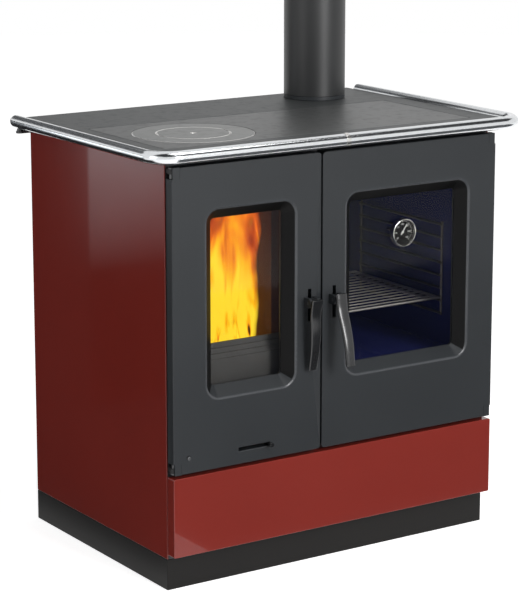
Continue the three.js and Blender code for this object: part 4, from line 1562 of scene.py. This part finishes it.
@dataclass
class Flue:
    """The collar and the pipe, both turned smooth."""

    steps: int = 96
    wall: float = 2 * MM
    lip: float = 1.2 * MM
    flange_height: float = 8 * MM
    flange_foot: float = 0.6 * MM
    flange_crown: float = 0.4 * MM
    spigot_play: float = 0.3 * MM
    spigot_wall: float = 5 * MM
    spigot_lip: float = 1 * MM

    def build(self) -> None:
        """Makes the flue's pieces."""
        low, high, middle = span("flue_pipe")
        foot = Vector((middle.x, middle.y, 0))
        outer = (high.x - low.x) / 2
        inner = outer - self.wall
        self._pipe(foot, outer, inner, low.z, high.z)
        self._collar(foot, inner - self.spigot_play)

    def _pipe(self, foot: Vector, outer: float, inner: float, low: float, high: float) -> None:
        """Rolls the pipe, with a curled top edge.

        Args:
            foot: A point on its axis.
            outer: Its outer radius.
            inner: Its inner radius.
            low: Z of its bottom.
            high: Z of its top.
        """
        lip = self.lip
        wall = [
            (inner, low),
            (outer - lip / 2, low),
            (outer, low + lip / 2),
            (outer, high - lip),
            (outer - lip * 0.4, high - lip * 0.2),
            (outer - lip * 0.8, high),
            (inner, high - lip * 0.4),
        ]
        pipe = Piece("flue_pipe_drawn").spun(wall, foot, UP, self.steps)
        pipe.finish([FLUE_PAINT], Body.STOVE, Slot.DARK_STEEL, ["flue_pipe"])

    def _collar(self, foot: Vector, spigot: float) -> None:
        """Casts the collar: a flange as wide as the pipe, with a spigot that fits inside it.

        Args:
            foot: A point on its axis.
            spigot: The spigot's outer radius.
        """
        low, high, _ = span("flue_collar")
        flange = (high.x - low.x) / 2
        bore = spigot - self.spigot_wall
        flange_top = low.z + self.flange_height
        section = [
            (bore, low.z),
            (flange - self.flange_foot, low.z),
            (flange, low.z + self.flange_foot),
            (flange, flange_top - self.flange_crown),
            (flange - self.flange_crown, flange_top),
            (spigot, flange_top),
            (spigot, high.z - self.spigot_lip),
            (spigot - self.spigot_lip, high.z),
            (bore + self.spigot_lip, high.z),
            (bore, high.z - self.spigot_lip),
        ]
        collar = Piece("flue_collar_cast").spun(section, foot, UP, self.steps)
        collar.finish([DOOR_PAINT], Body.STOVE, Slot.DARK_STEEL, ["flue_collar"])


@dataclass
class Rail:
    """The chrome rail in two halves, its joint and its brackets."""

    radius: float = 12.5 * MM
    bend: float = 46 * MM
    bend_steps: int = 20
    sleeve_wall: float = 0.8 * MM
    sleeve_lip: float = 0.4 * MM
    sleeve_steps: int = 48
    brackets: int = 6
    bracket_edge: float = 0.8 * MM

    def build(self) -> None:
        """Makes the rail's pieces."""
        for side, node in ((-1, "rail_left"), (1, "rail_right")):
            self._half(side, node)
        self._sleeve()
        for place in range(1, self.brackets + 1):
            node = f"rail_bracket_{place}"
            eased_copy(node, HANDLE_PAINT, Body.STOVE, Slot.HANDLE, self.bracket_edge)

    def _half(self, side: int, node: str) -> None:
        """Draws one half of the rail from its joint to its rear end.

        Args:
            side: -1 for the left half, 1 for the right.
            node: The solid that it stands for.
        """
        low, high, middle = span(node)
        joint = high.x if side < 0 else low.x
        outside = low.x + self.radius if side < 0 else high.x - self.radius
        front = low.y + self.radius
        corner = outside - side * self.bend
        piece = Piece(node + "_drawn")
        tube = Tube(piece, Vector((joint, front, middle.z)), RIGHT * side, self.radius)
        tube.run(abs(corner - joint))
        pivot = Vector((corner, front + self.bend, middle.z))
        tube.bend(pivot, UP, side * math.pi / 2, self.bend_steps)
        tube.run(high.y - self.radius - (front + self.bend))
        tube.dome()
        piece.finish([CHROME], Body.STOVE, Slot.CHROME, [node])

    def _sleeve(self) -> None:
        """Turns the thin sleeve that hides the joint of the halves."""
        low, high, middle = span("rail_joint_sleeve")
        outer = (high.z - low.z) / 2
        length = high.x - low.x
        inner = outer - self.sleeve_wall
        lip = self.sleeve_lip
        band = [
            (inner, 0),
            (outer - lip / 2, 0),
            (outer, lip),
            (outer, length - lip),
            (outer - lip / 2, length),
            (inner, length),
        ]
        sleeve = Piece("rail_joint_sleeve_turned")
        sleeve.spun(band, Vector((low.x, middle.y, middle.z)), RIGHT, self.sleeve_steps)
        sleeve.finish([POLISHED_RIM], Body.STOVE, Slot.ZINC, ["rail_joint_sleeve"])


@dataclass
class Lever:
    """One curved lever: a crowned blade that tapers downwards, with its hub and its tongue.

    The points of its line are (in front of the pin, over the pin).
    """

    prefix: str
    body: Body
    rest_angle: float
    line: tuple[tuple[float, float], ...] = (
        (15 * MM, 8 * MM),
        (13.5 * MM, 0),
        (9 * MM, -25 * MM),
        (9.5 * MM, -60 * MM),
        (7 * MM, -95 * MM),
        (-1 * MM, -133.6 * MM),
    )
    widths: tuple[float, float, float] = (26 * MM, 25 * MM, 19.5 * MM)
    thickness: float = 7.5 * MM
    squareness: float = 0.8
    sides: int = 32
    rings: int = 30
    end_edge: float = 1.3 * MM
    hub_radius: float = 9.5 * MM
    hub_width: float = 12 * MM
    hub_steps: int = 40
    bore: float = 3.3 * MM
    neck_low: float = -6 * MM
    neck_high: float = 5 * MM
    neck_bite: float = 2.5 * MM
    tongue_width: float = 5 * MM
    tongue_reach: float = 52 * MM
    tongue_low: float = -8.4 * MM
    tongue_high: float = 3.6 * MM
    tongue_bite: float = 2 * MM

    def build(self) -> None:
        """Makes the lever and hangs it on its pin."""
        node = self.prefix + "_handle_lever"
        piece = Piece(node + "_forged")
        self._blade(piece)
        self._fittings(piece)
        _, _, pivot = span(self.prefix + "_handle_pin")
        hang = Matrix.Translation(pivot) @ Matrix.Rotation(-math.radians(self.rest_angle), 4, "X")
        piece.shape.transform(hang)
        piece.finish([HANDLE_PAINT], self.body, Slot.HANDLE, [node], smooth=45)

    def _fittings(self, piece: Piece) -> None:
        """Adds the hub round the pin, the neck that carries the blade and the tongue behind.

        Args:
            piece: The piece that takes them.
        """
        half = self.hub_width / 2
        hub = [(self.bore, -half), (self.hub_radius, -half), (self.hub_radius, half), (self.bore, half)]
        piece.spun(hub, Vector((0, 0, 0)), RIGHT, self.hub_steps)
        neck_back = -self.hub_radius + self.neck_bite
        piece.block(
            Vector((-half, -self.line[0][0], self.neck_low)), Vector((half, neck_back, self.neck_high))
        )
        side = self.tongue_width / 2
        piece.block(
            Vector((-side, self.hub_radius - self.tongue_bite, self.tongue_low)),
            Vector((side, self.tongue_reach, self.tongue_high)),
        )

    def _along(self, share: float) -> Vector:
        """Gives a point of the blade's S-shaped middle line.

        Args:
            share: 0 at the head, 1 at the foot.

        Returns:
            How far it lies in front of the pin and over it.
        """
        last = len(self.line) - 1
        span_at = min(int(share * last), last - 1)
        step = share * last - span_at
        picks = (max(span_at - 1, 0), span_at, span_at + 1, min(span_at + 2, last))
        before, start, end, after = (Vector(self.line[pick]) for pick in picks)
        leave = (end - before) / 2
        arrive = (after - start) / 2
        return (
            start
            + leave * step
            + (3 * (end - start) - 2 * leave - arrive) * step**2
            + (2 * (start - end) + leave + arrive) * step**3
        )

    def _place(self, share: float) -> Matrix:
        """Gives the place and size of the blade's outline at a share of its length.

        Args:
            share: 0 at the head, 1 at the foot.

        Returns:
            What turns a unit circle into that outline.
        """
        rest = 1 - share
        shares = (rest * rest, 2 * rest * share, share * share)
        width = sum(part * value for part, value in zip(shares, self.widths))
        forward, height = self._along(share)
        ahead = self._along(min(share + 0.01, 1)) - self._along(max(share - 0.01, 0))
        tilt = Matrix.Rotation(math.atan2(-ahead.x, -ahead.y), 4, "X")
        size = Matrix.Diagonal((width / 2, self.thickness / 2, 1, 1))
        return Matrix.Translation((0, -forward, height)) @ tilt @ size

    def _blade(self, piece: Piece) -> None:
        """Draws the blade from its head to its foot and rounds both ends.

        Args:
            piece: The piece that takes it.
        """
        made = bmesh.ops.create_circle(piece.shape, cap_ends=True, segments=self.sides, radius=1)
        corners = made["verts"]
        for vert in corners:
            vert.co.x = math.copysign(abs(vert.co.x) ** self.squareness, vert.co.x)
            vert.co.y = math.copysign(abs(vert.co.y) ** self.squareness, vert.co.y)
        loop = once(edge for vert in corners for edge in vert.link_edges)
        before = self._place(0)
        bmesh.ops.transform(piece.shape, matrix=before, verts=corners)
        head = list(loop)
        for ring in range(1, self.rings + 1):
            corners, loop = drawn_out(piece.shape, loop)
            after = self._place(ring / self.rings)
            bmesh.ops.transform(piece.shape, matrix=after @ before.inverted(), verts=corners)
            before = after
        bmesh.ops.contextual_create(piece.shape, geom=loop)
        round_edges(piece.shape, head + loop, self.end_edge, segments=3)


@dataclass(frozen=True)
class DoorFittings:
    """The names that one door's pieces go by, and how far its lever rests pulled out."""

    prefix: str
    body: Body
    handle_body: Body
    lever_angle: float


@dataclass
class Doors:
    """Both glazed doors with their frames, pins and lever handles.

    A face whose normal's Y is within slant is a slanted one. The points of the screw's socket are
    (radius, behind the front), those of its rim (in from the rim, behind the front).
    """

    pair: tuple[DoorFittings, ...] = (
        DoorFittings("firebox", Body.FIREBOX_DOOR, Body.FIREBOX_HANDLE, 0),
        DoorFittings("oven", Body.OVEN_DOOR, Body.OVEN_HANDLE, 20),
    )
    rim: float = 3.0 * MM
    outer_edge: float = 1.8 * MM
    glass_edge: float = 0.4 * MM
    clamp_edge: float = 0.5 * MM
    pin_edge: float = 0.6 * MM
    handle_pin_edge: float = 0.5 * MM
    slider_edge: float = 0.5 * MM
    flank_depth: float = 20.3 * MM
    window_reach: float = 12 * MM
    handle_half_width: float = 17 * MM
    handle_half_height: float = 60 * MM
    hinge_reach: float = 20 * MM
    knuckle_room: float = 4 * MM
    knuckle_height: float = 22 * MM
    knuckle_margin: float = 1 * MM
    skin: float = 3.6 * MM
    skin_short: float = 3 * MM
    flat: float = 0.1 * MM
    slant: tuple[float, float] = (-0.95, -0.3)
    sill_rise: float = 0.4
    screw_socket: tuple[tuple[float, float], ...] = ((0, 0.5 * MM), (1.3 * MM, 0.5 * MM), (1.5 * MM, 0))
    screw_rim: tuple[tuple[float, float], ...] = ((1 * MM, 0.1 * MM), (0.3 * MM, 0.5 * MM), (0, 1.1 * MM))
    screw_steps: int = 32

    def build(self) -> None:
        """Makes the doors' pieces."""
        for fittings in self.pair:
            self._casting(fittings)
            self._glazing(fittings)
        for fittings in self.pair:
            Lever(fittings.prefix, fittings.handle_body, fittings.lever_angle).build()
        eased_copy("air_slider", HANDLE_PAINT, Body.AIR_SLIDER, Slot.HANDLE, self.slider_edge)
        self._screw()

    def _casting(self, fittings: DoorFittings) -> None:
        """Rounds and paints one door casting.

        Args:
            fittings: Which door.
        """
        node = fittings.prefix + "_door_casting"
        low, high, _ = span(node)
        glass_low, glass_high, _ = span(fittings.prefix + "_door_glass")
        _, _, pivot = span(fittings.prefix + "_handle_pin")
        front = glass_low.y - self.flank_depth
        piece = Piece.copied(node + "_finished", node)

        def by_window(place: Vector) -> bool:
            """Tells whether a place is in or just round the window."""
            across = glass_low.x - self.window_reach < place.x < glass_high.x + self.window_reach
            return across and glass_low.z - self.window_reach < place.z < glass_high.z + self.window_reach

        def on_front(edge: bmesh.types.BMEdge) -> bool:
            """Picks edges of the front face, away from the handle and the hinge corners.

            Args:
                edge: An edge of the casting.

            Returns:
                Whether it is rounded.
            """
            middle = edge_middle(edge)
            beside = (
                abs(middle.x - pivot.x) < self.handle_half_width
                and abs(middle.z - pivot.z) < self.handle_half_height
            )
            side = min(middle.x - low.x, high.x - middle.x) < self.hinge_reach
            end = min(middle.z - low.z, high.z - middle.z)
            corner = side and self.knuckle_margin < end < self.knuckle_height + self.knuckle_margin
            flat = all(abs(vert.co.y - front) < self.flat for vert in edge.verts)
            return flat and not beside and not corner

        def of_window(edge: bmesh.types.BMEdge) -> bool:
            """Picks the front rim of the window."""
            return on_front(edge) and by_window(edge_middle(edge))

        def is_shaded_flank(face: bmesh.types.BMFace) -> bool:
            """Picks the window's slanted flanks, which take painted shade, but not its sill, which faces
            up.
            """
            slanted = self.slant[0] < face.normal.y < self.slant[1] and face.normal.z < self.sill_rise
            return slanted and by_window(face.calc_center_median())

        # The flanks get the near-black paint as painted shade; the sill faces up and keeps the door's
        # paint, as if lit.
        for face in filter(is_shaded_flank, piece.shape.faces):
            face.material_index = 1
        # The window rim's rounding takes the lighter paint, a painted highlight along the edge.
        piece.ease(self.rim, 4, 30, of_window, material=2)
        piece.ease(self.outer_edge, 3, 50, lambda edge: on_front(edge) and not of_window(edge))
        self._corner_skins(piece, fittings, front)
        piece.finish([DOOR_PAINT, WINDOW_FLANK_SHADE_PAINT, RIM_HIGHLIGHT_PAINT], fittings.body, Slot.CHARCOAL, [node])

    def _corner_skins(self, piece: Piece, fittings: DoorFittings, front: float) -> None:
        """Closes the door's face in front of its hinge knuckles.

        Args:
            piece: The casting.
            fittings: Which door.
            front: Y of the door's front face.
        """
        low, high, _ = span(fittings.prefix + "_door_casting")
        for place, bottom in (("bottom", low.z), ("top", high.z - self.knuckle_height)):
            pin_low, pin_high, _ = span(f"{fittings.prefix}_hinge_pin_{place}")
            near_left = pin_low.x - low.x < high.x - pin_high.x
            outer = low.x + self.skin_short if near_left else pin_low.x - self.knuckle_room
            inner = pin_high.x + self.knuckle_room if near_left else high.x - self.skin_short
            corner_low = Vector((outer, front, bottom))
            corner_high = Vector((inner, front + self.skin, bottom + self.knuckle_height))
            piece.block(corner_low, corner_high)

    def _glazing(self, fittings: DoorFittings) -> None:
        """Sets one glass, its clamp frame and the hinge pins.

        Args:
            fittings: Which door.
        """
        prefix, body = fittings.prefix, fittings.body
        eased_copy(prefix + "_door_glass", GLASS, body, Slot.GLASS, self.glass_edge)
        eased_copy(prefix + "_glass_frame", BACK_PAINT, body, Slot.DARK_STEEL, self.clamp_edge)
        for place in ("bottom", "top"):
            eased_copy(f"{prefix}_hinge_pin_{place}", DULL_STEEL, body, Slot.ZINC, self.pin_edge)
        eased_copy(prefix + "_handle_pin", DULL_STEEL, body, Slot.ZINC, self.handle_pin_edge)

    def _screw(self) -> None:
        """Turns the small screw low on the firebox door."""
        low, high, middle = span("firebox_door_screw")
        radius = (high.x - low.x) / 2
        length = high.y - low.y
        rim = [(radius - inset, depth) for inset, depth in self.screw_rim]
        head = [*self.screw_socket, *rim, (radius, length), (0, length)]
        screw = Piece("firebox_door_screw_turned")
        screw.spun(head, Vector((middle.x, low.y, middle.z)), -FORWARD, self.screw_steps)
        screw.finish([DULL_STEEL], Body.FIREBOX_DOOR, Slot.ZINC, ["firebox_door_screw"])


@dataclass
class Thermometer:
    """The oven thermometer: case with its bezel, dial with its scale, needle and lens.

    The points of the bezel are (in from the case's rim, behind its front).
    """

    steps: int = 64
    dial_depth: float = 10 * MM
    case_depth: float = 13 * MM
    bezel: tuple[tuple[float, float], ...] = (
        (3 * MM, 2.2 * MM),
        (2.6 * MM, 0.6 * MM),
        (1.8 * MM, 0),
        (0.8 * MM, 0.5 * MM),
        (0.1 * MM, 2 * MM),
        (0, 4 * MM),
    )
    case_edge: float = 0.6 * MM
    dial_edge: float = 0.2 * MM
    lens_edge: float = 0.3 * MM
    needle_edge: float = 0.15 * MM
    stem_radius: float = 3.5 * MM
    stem_tip: float = 1.5 * MM
    first_angle: float = -135
    last_angle: float = 135
    marks: int = 31
    numbers: tuple[str, ...] = ("50", "100", "150", "200", "250", "300", "350")
    number_height: float = 4.6 * MM
    number_inset: float = 9.2 * MM
    print_thickness: float = 0.08 * MM
    mark_inset: float = 1.6 * MM
    long_mark: tuple[float, float] = (0.9 * MM, 3.6 * MM)
    short_mark: tuple[float, float] = (0.56 * MM, 2.2 * MM)

    def build(self) -> None:
        """Makes the thermometer's pieces."""
        self._case()
        eased_copy("thermometer_dial", DIAL_FACE, Body.OVEN_DOOR, Slot.DIAL, self.dial_edge)
        eased_copy("thermometer_lens", LENS, Body.OVEN_DOOR, Slot.GLASS, self.lens_edge)
        eased_copy("thermometer_needle", DIAL_MARKS, Body.NEEDLE, Slot.NEEDLE, self.needle_edge)
        self._scale()

    def _case(self) -> None:
        """Turns the case: a rolled bezel in front, a flat back, and the stem behind it."""
        low, high, _ = span("thermometer_case")
        _, _, dial_middle = span("thermometer_dial")
        radius = (high.x - low.x) / 2
        length = high.y - low.y
        bezel = [(radius - inset, depth) for inset, depth in self.bezel]
        profile = [
            (bezel[0][0], self.dial_depth),
            *bezel,
            (radius, self.case_depth - self.case_edge),
            (radius - self.case_edge, self.case_depth),
            (self.stem_radius, self.case_depth),
            (self.stem_radius, length - self.stem_tip),
            (self.stem_radius - self.stem_tip, length),
            (0, length),
            (0, self.dial_depth),
        ]
        centre = Vector((dial_middle.x, low.y, dial_middle.z))
        case = Piece("thermometer_case_turned").spun(profile, centre, -FORWARD, self.steps)
        case.finish([POLISHED_RIM], Body.OVEN_DOOR, Slot.CHROME, ["thermometer_case"])

    def _angle(self, share: float) -> float:
        """Gives the angle, in radians, of a share of the scale."""
        return math.radians(self.first_angle + (self.last_angle - self.first_angle) * share)

    def _scale(self) -> None:
        """Prints the dial's strokes and numbers as one thin raised mesh."""
        low, high, middle = span("thermometer_dial")
        radius = (high.x - low.x) / 2
        skin = self.print_thickness
        outer = radius - self.mark_inset
        major_every = (self.marks - 1) // (len(self.numbers) - 1)
        place = Matrix.Translation(Vector((middle.x, low.y - skin / 2, middle.z)))
        piece = Piece("thermometer_scale")
        for mark in range(self.marks):
            width, length = self.short_mark if mark % major_every else self.long_mark
            turn = Matrix.Rotation(self._angle(mark / (self.marks - 1)), 4, "Y")
            stroke = Matrix.Translation(Vector((0, 0, outer - length / 2)))
            size = Matrix.Diagonal((width, skin, length, 1))
            bmesh.ops.create_cube(piece.shape, size=1, matrix=place @ turn @ stroke @ size)
        reach = radius - self.number_inset
        for index, text in enumerate(self.numbers):
            angle = self._angle(index / (len(self.numbers) - 1))
            at = Vector((middle.x + math.sin(angle) * reach, low.y, middle.z + math.cos(angle) * reach))
            self._number(piece, text, at)
        piece.finish([DIAL_MARKS], Body.OVEN_DOOR, Slot.NEEDLE)

    def _number(self, piece: Piece, text: str, at: Vector) -> None:
        """Adds one number to the scale.

        Args:
            piece: The scale.
            text: The number.
            at: Its middle on the dial.
        """
        curve = bpy.data.curves.new("number", "FONT")
        curve.body = text
        curve.size = self.number_height
        curve.align_x = "CENTER"
        curve.align_y = "CENTER"
        curve.extrude = self.print_thickness / 2
        holder = bpy.data.objects.new("number", curve)
        bpy.context.scene.collection.objects.link(holder)
        bpy.context.view_layer.update()
        mesh = bpy.data.meshes.new_from_object(holder)
        upright = Matrix.Rotation(math.pi / 2, 4, "X")
        mesh.transform(Matrix.Translation(at + FORWARD * (self.print_thickness / 2)) @ upright)
        piece.shape.from_mesh(mesh)
        bpy.data.objects.remove(holder)
        bpy.data.meshes.remove(mesh)
        bpy.data.curves.remove(curve)


# ------------------------------------------------------------------ studio
@dataclass(frozen=True)
class SoftLamp:
    """A soft area lamp: where it hangs, where it points, its size in metres and its watts."""

    name: str
    at: tuple[float, float, float]
    aim: tuple[float, float, float]
    width: float
    height: float
    power: float

    def hang(self) -> None:
        """Hangs the lamp."""
        data = bpy.data.lights.new(self.name, "AREA")
        data.shape = "RECTANGLE"
        data.size = self.width
        data.size_y = self.height
        data.energy = self.power
        lamp = bpy.data.objects.new(self.name, data)
        lamp.location = self.at
        towards = Vector(self.aim) - Vector(self.at)
        lamp.rotation_euler = towards.to_track_quat("-Z", "Y").to_euler()
        bpy.context.scene.collection.objects.link(lamp)


@dataclass(frozen=True)
class MirrorCard:
    """A card that only shows mirrored in gloss and metal; its glow is 1 for white.

    An upright card stands across the room, any other lies flat. Its fall is how fast the glow
    fades from its upper edge down.
    """

    name: str
    at: tuple[float, float, float]
    half_width: float
    half_height: float
    glow: float
    upright: bool = False
    fall: float = 0.0
    tint: Color = (0.92, 0.96, 1.0, 1)

    def stand(self) -> None:
        """Puts the card in the studio."""
        shape = bmesh.new()
        bmesh.ops.create_grid(shape, x_segments=1, y_segments=1, size=1)
        shape.transform(Matrix.Diagonal((self.half_width, self.half_height, 1, 1)))
        card = staged(self.name, shape, self._cloth())
        card.location = self.at
        card.rotation_euler = (math.pi / 2 if self.upright else 0, 0, 0)
        card.visible_camera = False
        card.visible_diffuse = False
        card.visible_transmission = False
        card.visible_shadow = False

    def _cloth(self) -> bpy.types.Material:
        """Makes the card's faintly clouded, glowing cloth.

        Returns:
            The material.
        """
        material = bpy.data.materials.new(self.name + " cloth")
        shader = Shader(material)
        folds = shader.clouds(shader.place(), 2.5, 2)
        _, up, _ = shader.axes(shader.place())
        fade = ((up * (0.5 / self.half_height) - 0.5) * self.fall + 1.0).clamped()
        strength = (folds * 0.8 + 0.6) * fade * self.glow
        cloth = {"Color": self.tint, "Strength": strength}
        shader.close(shader.node("ShaderNodeEmission", None, cloth))
        return material


def staged(
    name: str, shape: bmesh.types.BMesh, material: bpy.types.Material
) -> bpy.types.Object:
    """Makes a floor or a card of a mesh, and marks it as no part of the stove.

    Args:
        name: Its name.
        shape: Its mesh, which is freed.
        material: Its material.

    Returns:
        The object.
    """
    mesh = bpy.data.meshes.new(name)
    shape.to_mesh(mesh)
    shape.free()
    mesh.materials.append(material)
    made = bpy.data.objects.new(name, mesh)
    bpy.context.scene.collection.objects.link(made)
    return made


@dataclass
class Studio:
    """The floor, the backdrop's light, the lamps, the mirrored cards and the camera."""

    camera_at: tuple[float, float, float] = (-2.536, -3.7927, 1.542)
    yaw: float = 33.49
    pitch: float = 11.58
    focal_length: float = 138.3
    shift: float = -0.1012
    floor_radius: float = 9
    floor_color: Color = (0.8, 0.8, 0.8, 1.0)
    floor_patches: Color = (0.85, 0.85, 0.85, 1.0)
    floor_lift: float = 0.78
    world_light: float = 0.3
    lamps: tuple[SoftLamp, ...] = (
        SoftLamp("front softbox", (0.35, -3.1, 1.5), (0, 0, 0.45), 1.0, 1.3, 66),
        SoftLamp("overhead softbox", (0.3, -0.9, 2.9), (0, 0, 0.85), 1.5, 1.1, 26),
        SoftLamp("left fill", (-3.2, -0.4, 1.2), (0, 0, 0.5), 1.2, 1.6, 10),
    )
    cards: tuple[MirrorCard, ...] = (
        MirrorCard("dark_ceiling", (0, -2.3, 3.3), 4.2, 2.1, 0.035),
        MirrorCard("dark_lintel", (-0.4, 3.6, 2.85), 2.2, 0.75, 0.09, upright=True),
        MirrorCard("dark_wall", (-1.0, 1.0, 0.42), 0.75, 0.5, 0.02, upright=True),
        MirrorCard("dark_carpet", (-1.05, 0.45, 0.004), 0.62, 0.6, 0.02),
        MirrorCard("dark_front_carpet", (1.1, -1.35, 0.004), 1.3, 0.95, 0.12),
        MirrorCard("pale_window", (-1.25, 0.96, 0.42), 0.37, 0.42, 2.7, upright=True, fall=1.7),
    )

    def build(self) -> None:
        """Sets up everything round the stove."""
        self._camera()
        self._floor()
        self._world()
        for lamp in self.lamps:
            lamp.hang()
        for card in self.cards:
            card.stand()
        bpy.context.scene.view_settings.view_transform = "Standard"

    def _camera(self) -> None:
        """Places the camera at the photograph's angle."""
        data = bpy.data.cameras.new("photo camera")
        data.lens = self.focal_length
        data.sensor_width = 36
        data.shift_y = self.shift
        data.clip_end = 60
        camera = bpy.data.objects.new("photo camera", data)
        camera.location = self.camera_at
        camera.rotation_euler = (math.radians(90 - self.pitch), 0, -math.radians(self.yaw))
        bpy.context.scene.collection.objects.link(camera)
        bpy.context.scene.camera = camera

    def _floor(self) -> None:
        """Lays the pale floor, which keeps the stove's shadow."""
        shape = bmesh.new()
        bmesh.ops.create_circle(shape, cap_ends=True, segments=96, radius=self.floor_radius)
        material = bpy.data.materials.new("pale floor")
        shader = Shader(material)
        tone = shader.clouds(shader.place(), 1.5, 3)
        color = shader.blend(self.floor_color, self.floor_patches, tone)
        paper = shader.node("ShaderNodeBsdfDiffuse", None, {"Color": color})
        strength = self._seen(shader) * self.floor_lift
        lift = shader.node("ShaderNodeEmission", None, {"Color": WHITE, "Strength": strength})
        shader.close(shader.node("ShaderNodeAddShader", None, {0: paper, 1: lift}))
        staged("studio_floor", shape, material)

    @staticmethod
    def _seen(shader: Shader) -> Signal:
        """Tells what is looked at from what only lights other things.

        Args:
            shader: The shader that asks.

        Returns:
            1 for what the camera, gloss and glass see, and 0 for light that falls on things.
        """
        path = shader.node("ShaderNodeLightPath").socket.node.outputs
        camera = Signal(shader, path["Is Camera Ray"])
        glossy = Signal(shader, path["Is Glossy Ray"])
        passed = Signal(shader, path["Is Transmission Ray"])
        return (camera + glossy + passed).clamped()

    def _world(self) -> None:
        """Gives the white backdrop and the soft light from all round."""
        world = bpy.data.worlds.new("studio")
        bpy.context.scene.world = world
        shader = Shader(world)
        strength = self._seen(shader) * (1 - self.world_light) + self.world_light
        light = {"Color": WHITE, "Strength": strength}
        shader.close(shader.node("ShaderNodeBackground", None, light))


def main() -> None:
    """Builds the studio, then the stove's sub-assemblies in order, and notes the sizes."""
    logging.basicConfig(level=logging.INFO, format="%(name)s: %(message)s")
    Studio().build()
    assemblies = (
        Casing(),
        Drawer(),
        Firebox(),
        Fire(),
        Oven(),
        Hob(),
        Flue(),
        Rail(),
        Doors(),
        Thermometer(),
    )
    for assembly in assemblies:
        assembly.build()
        LOG.info("%s done", type(assembly).__name__)
    bpy.context.view_layer.update()


if __name__ == "__main__":
    main()
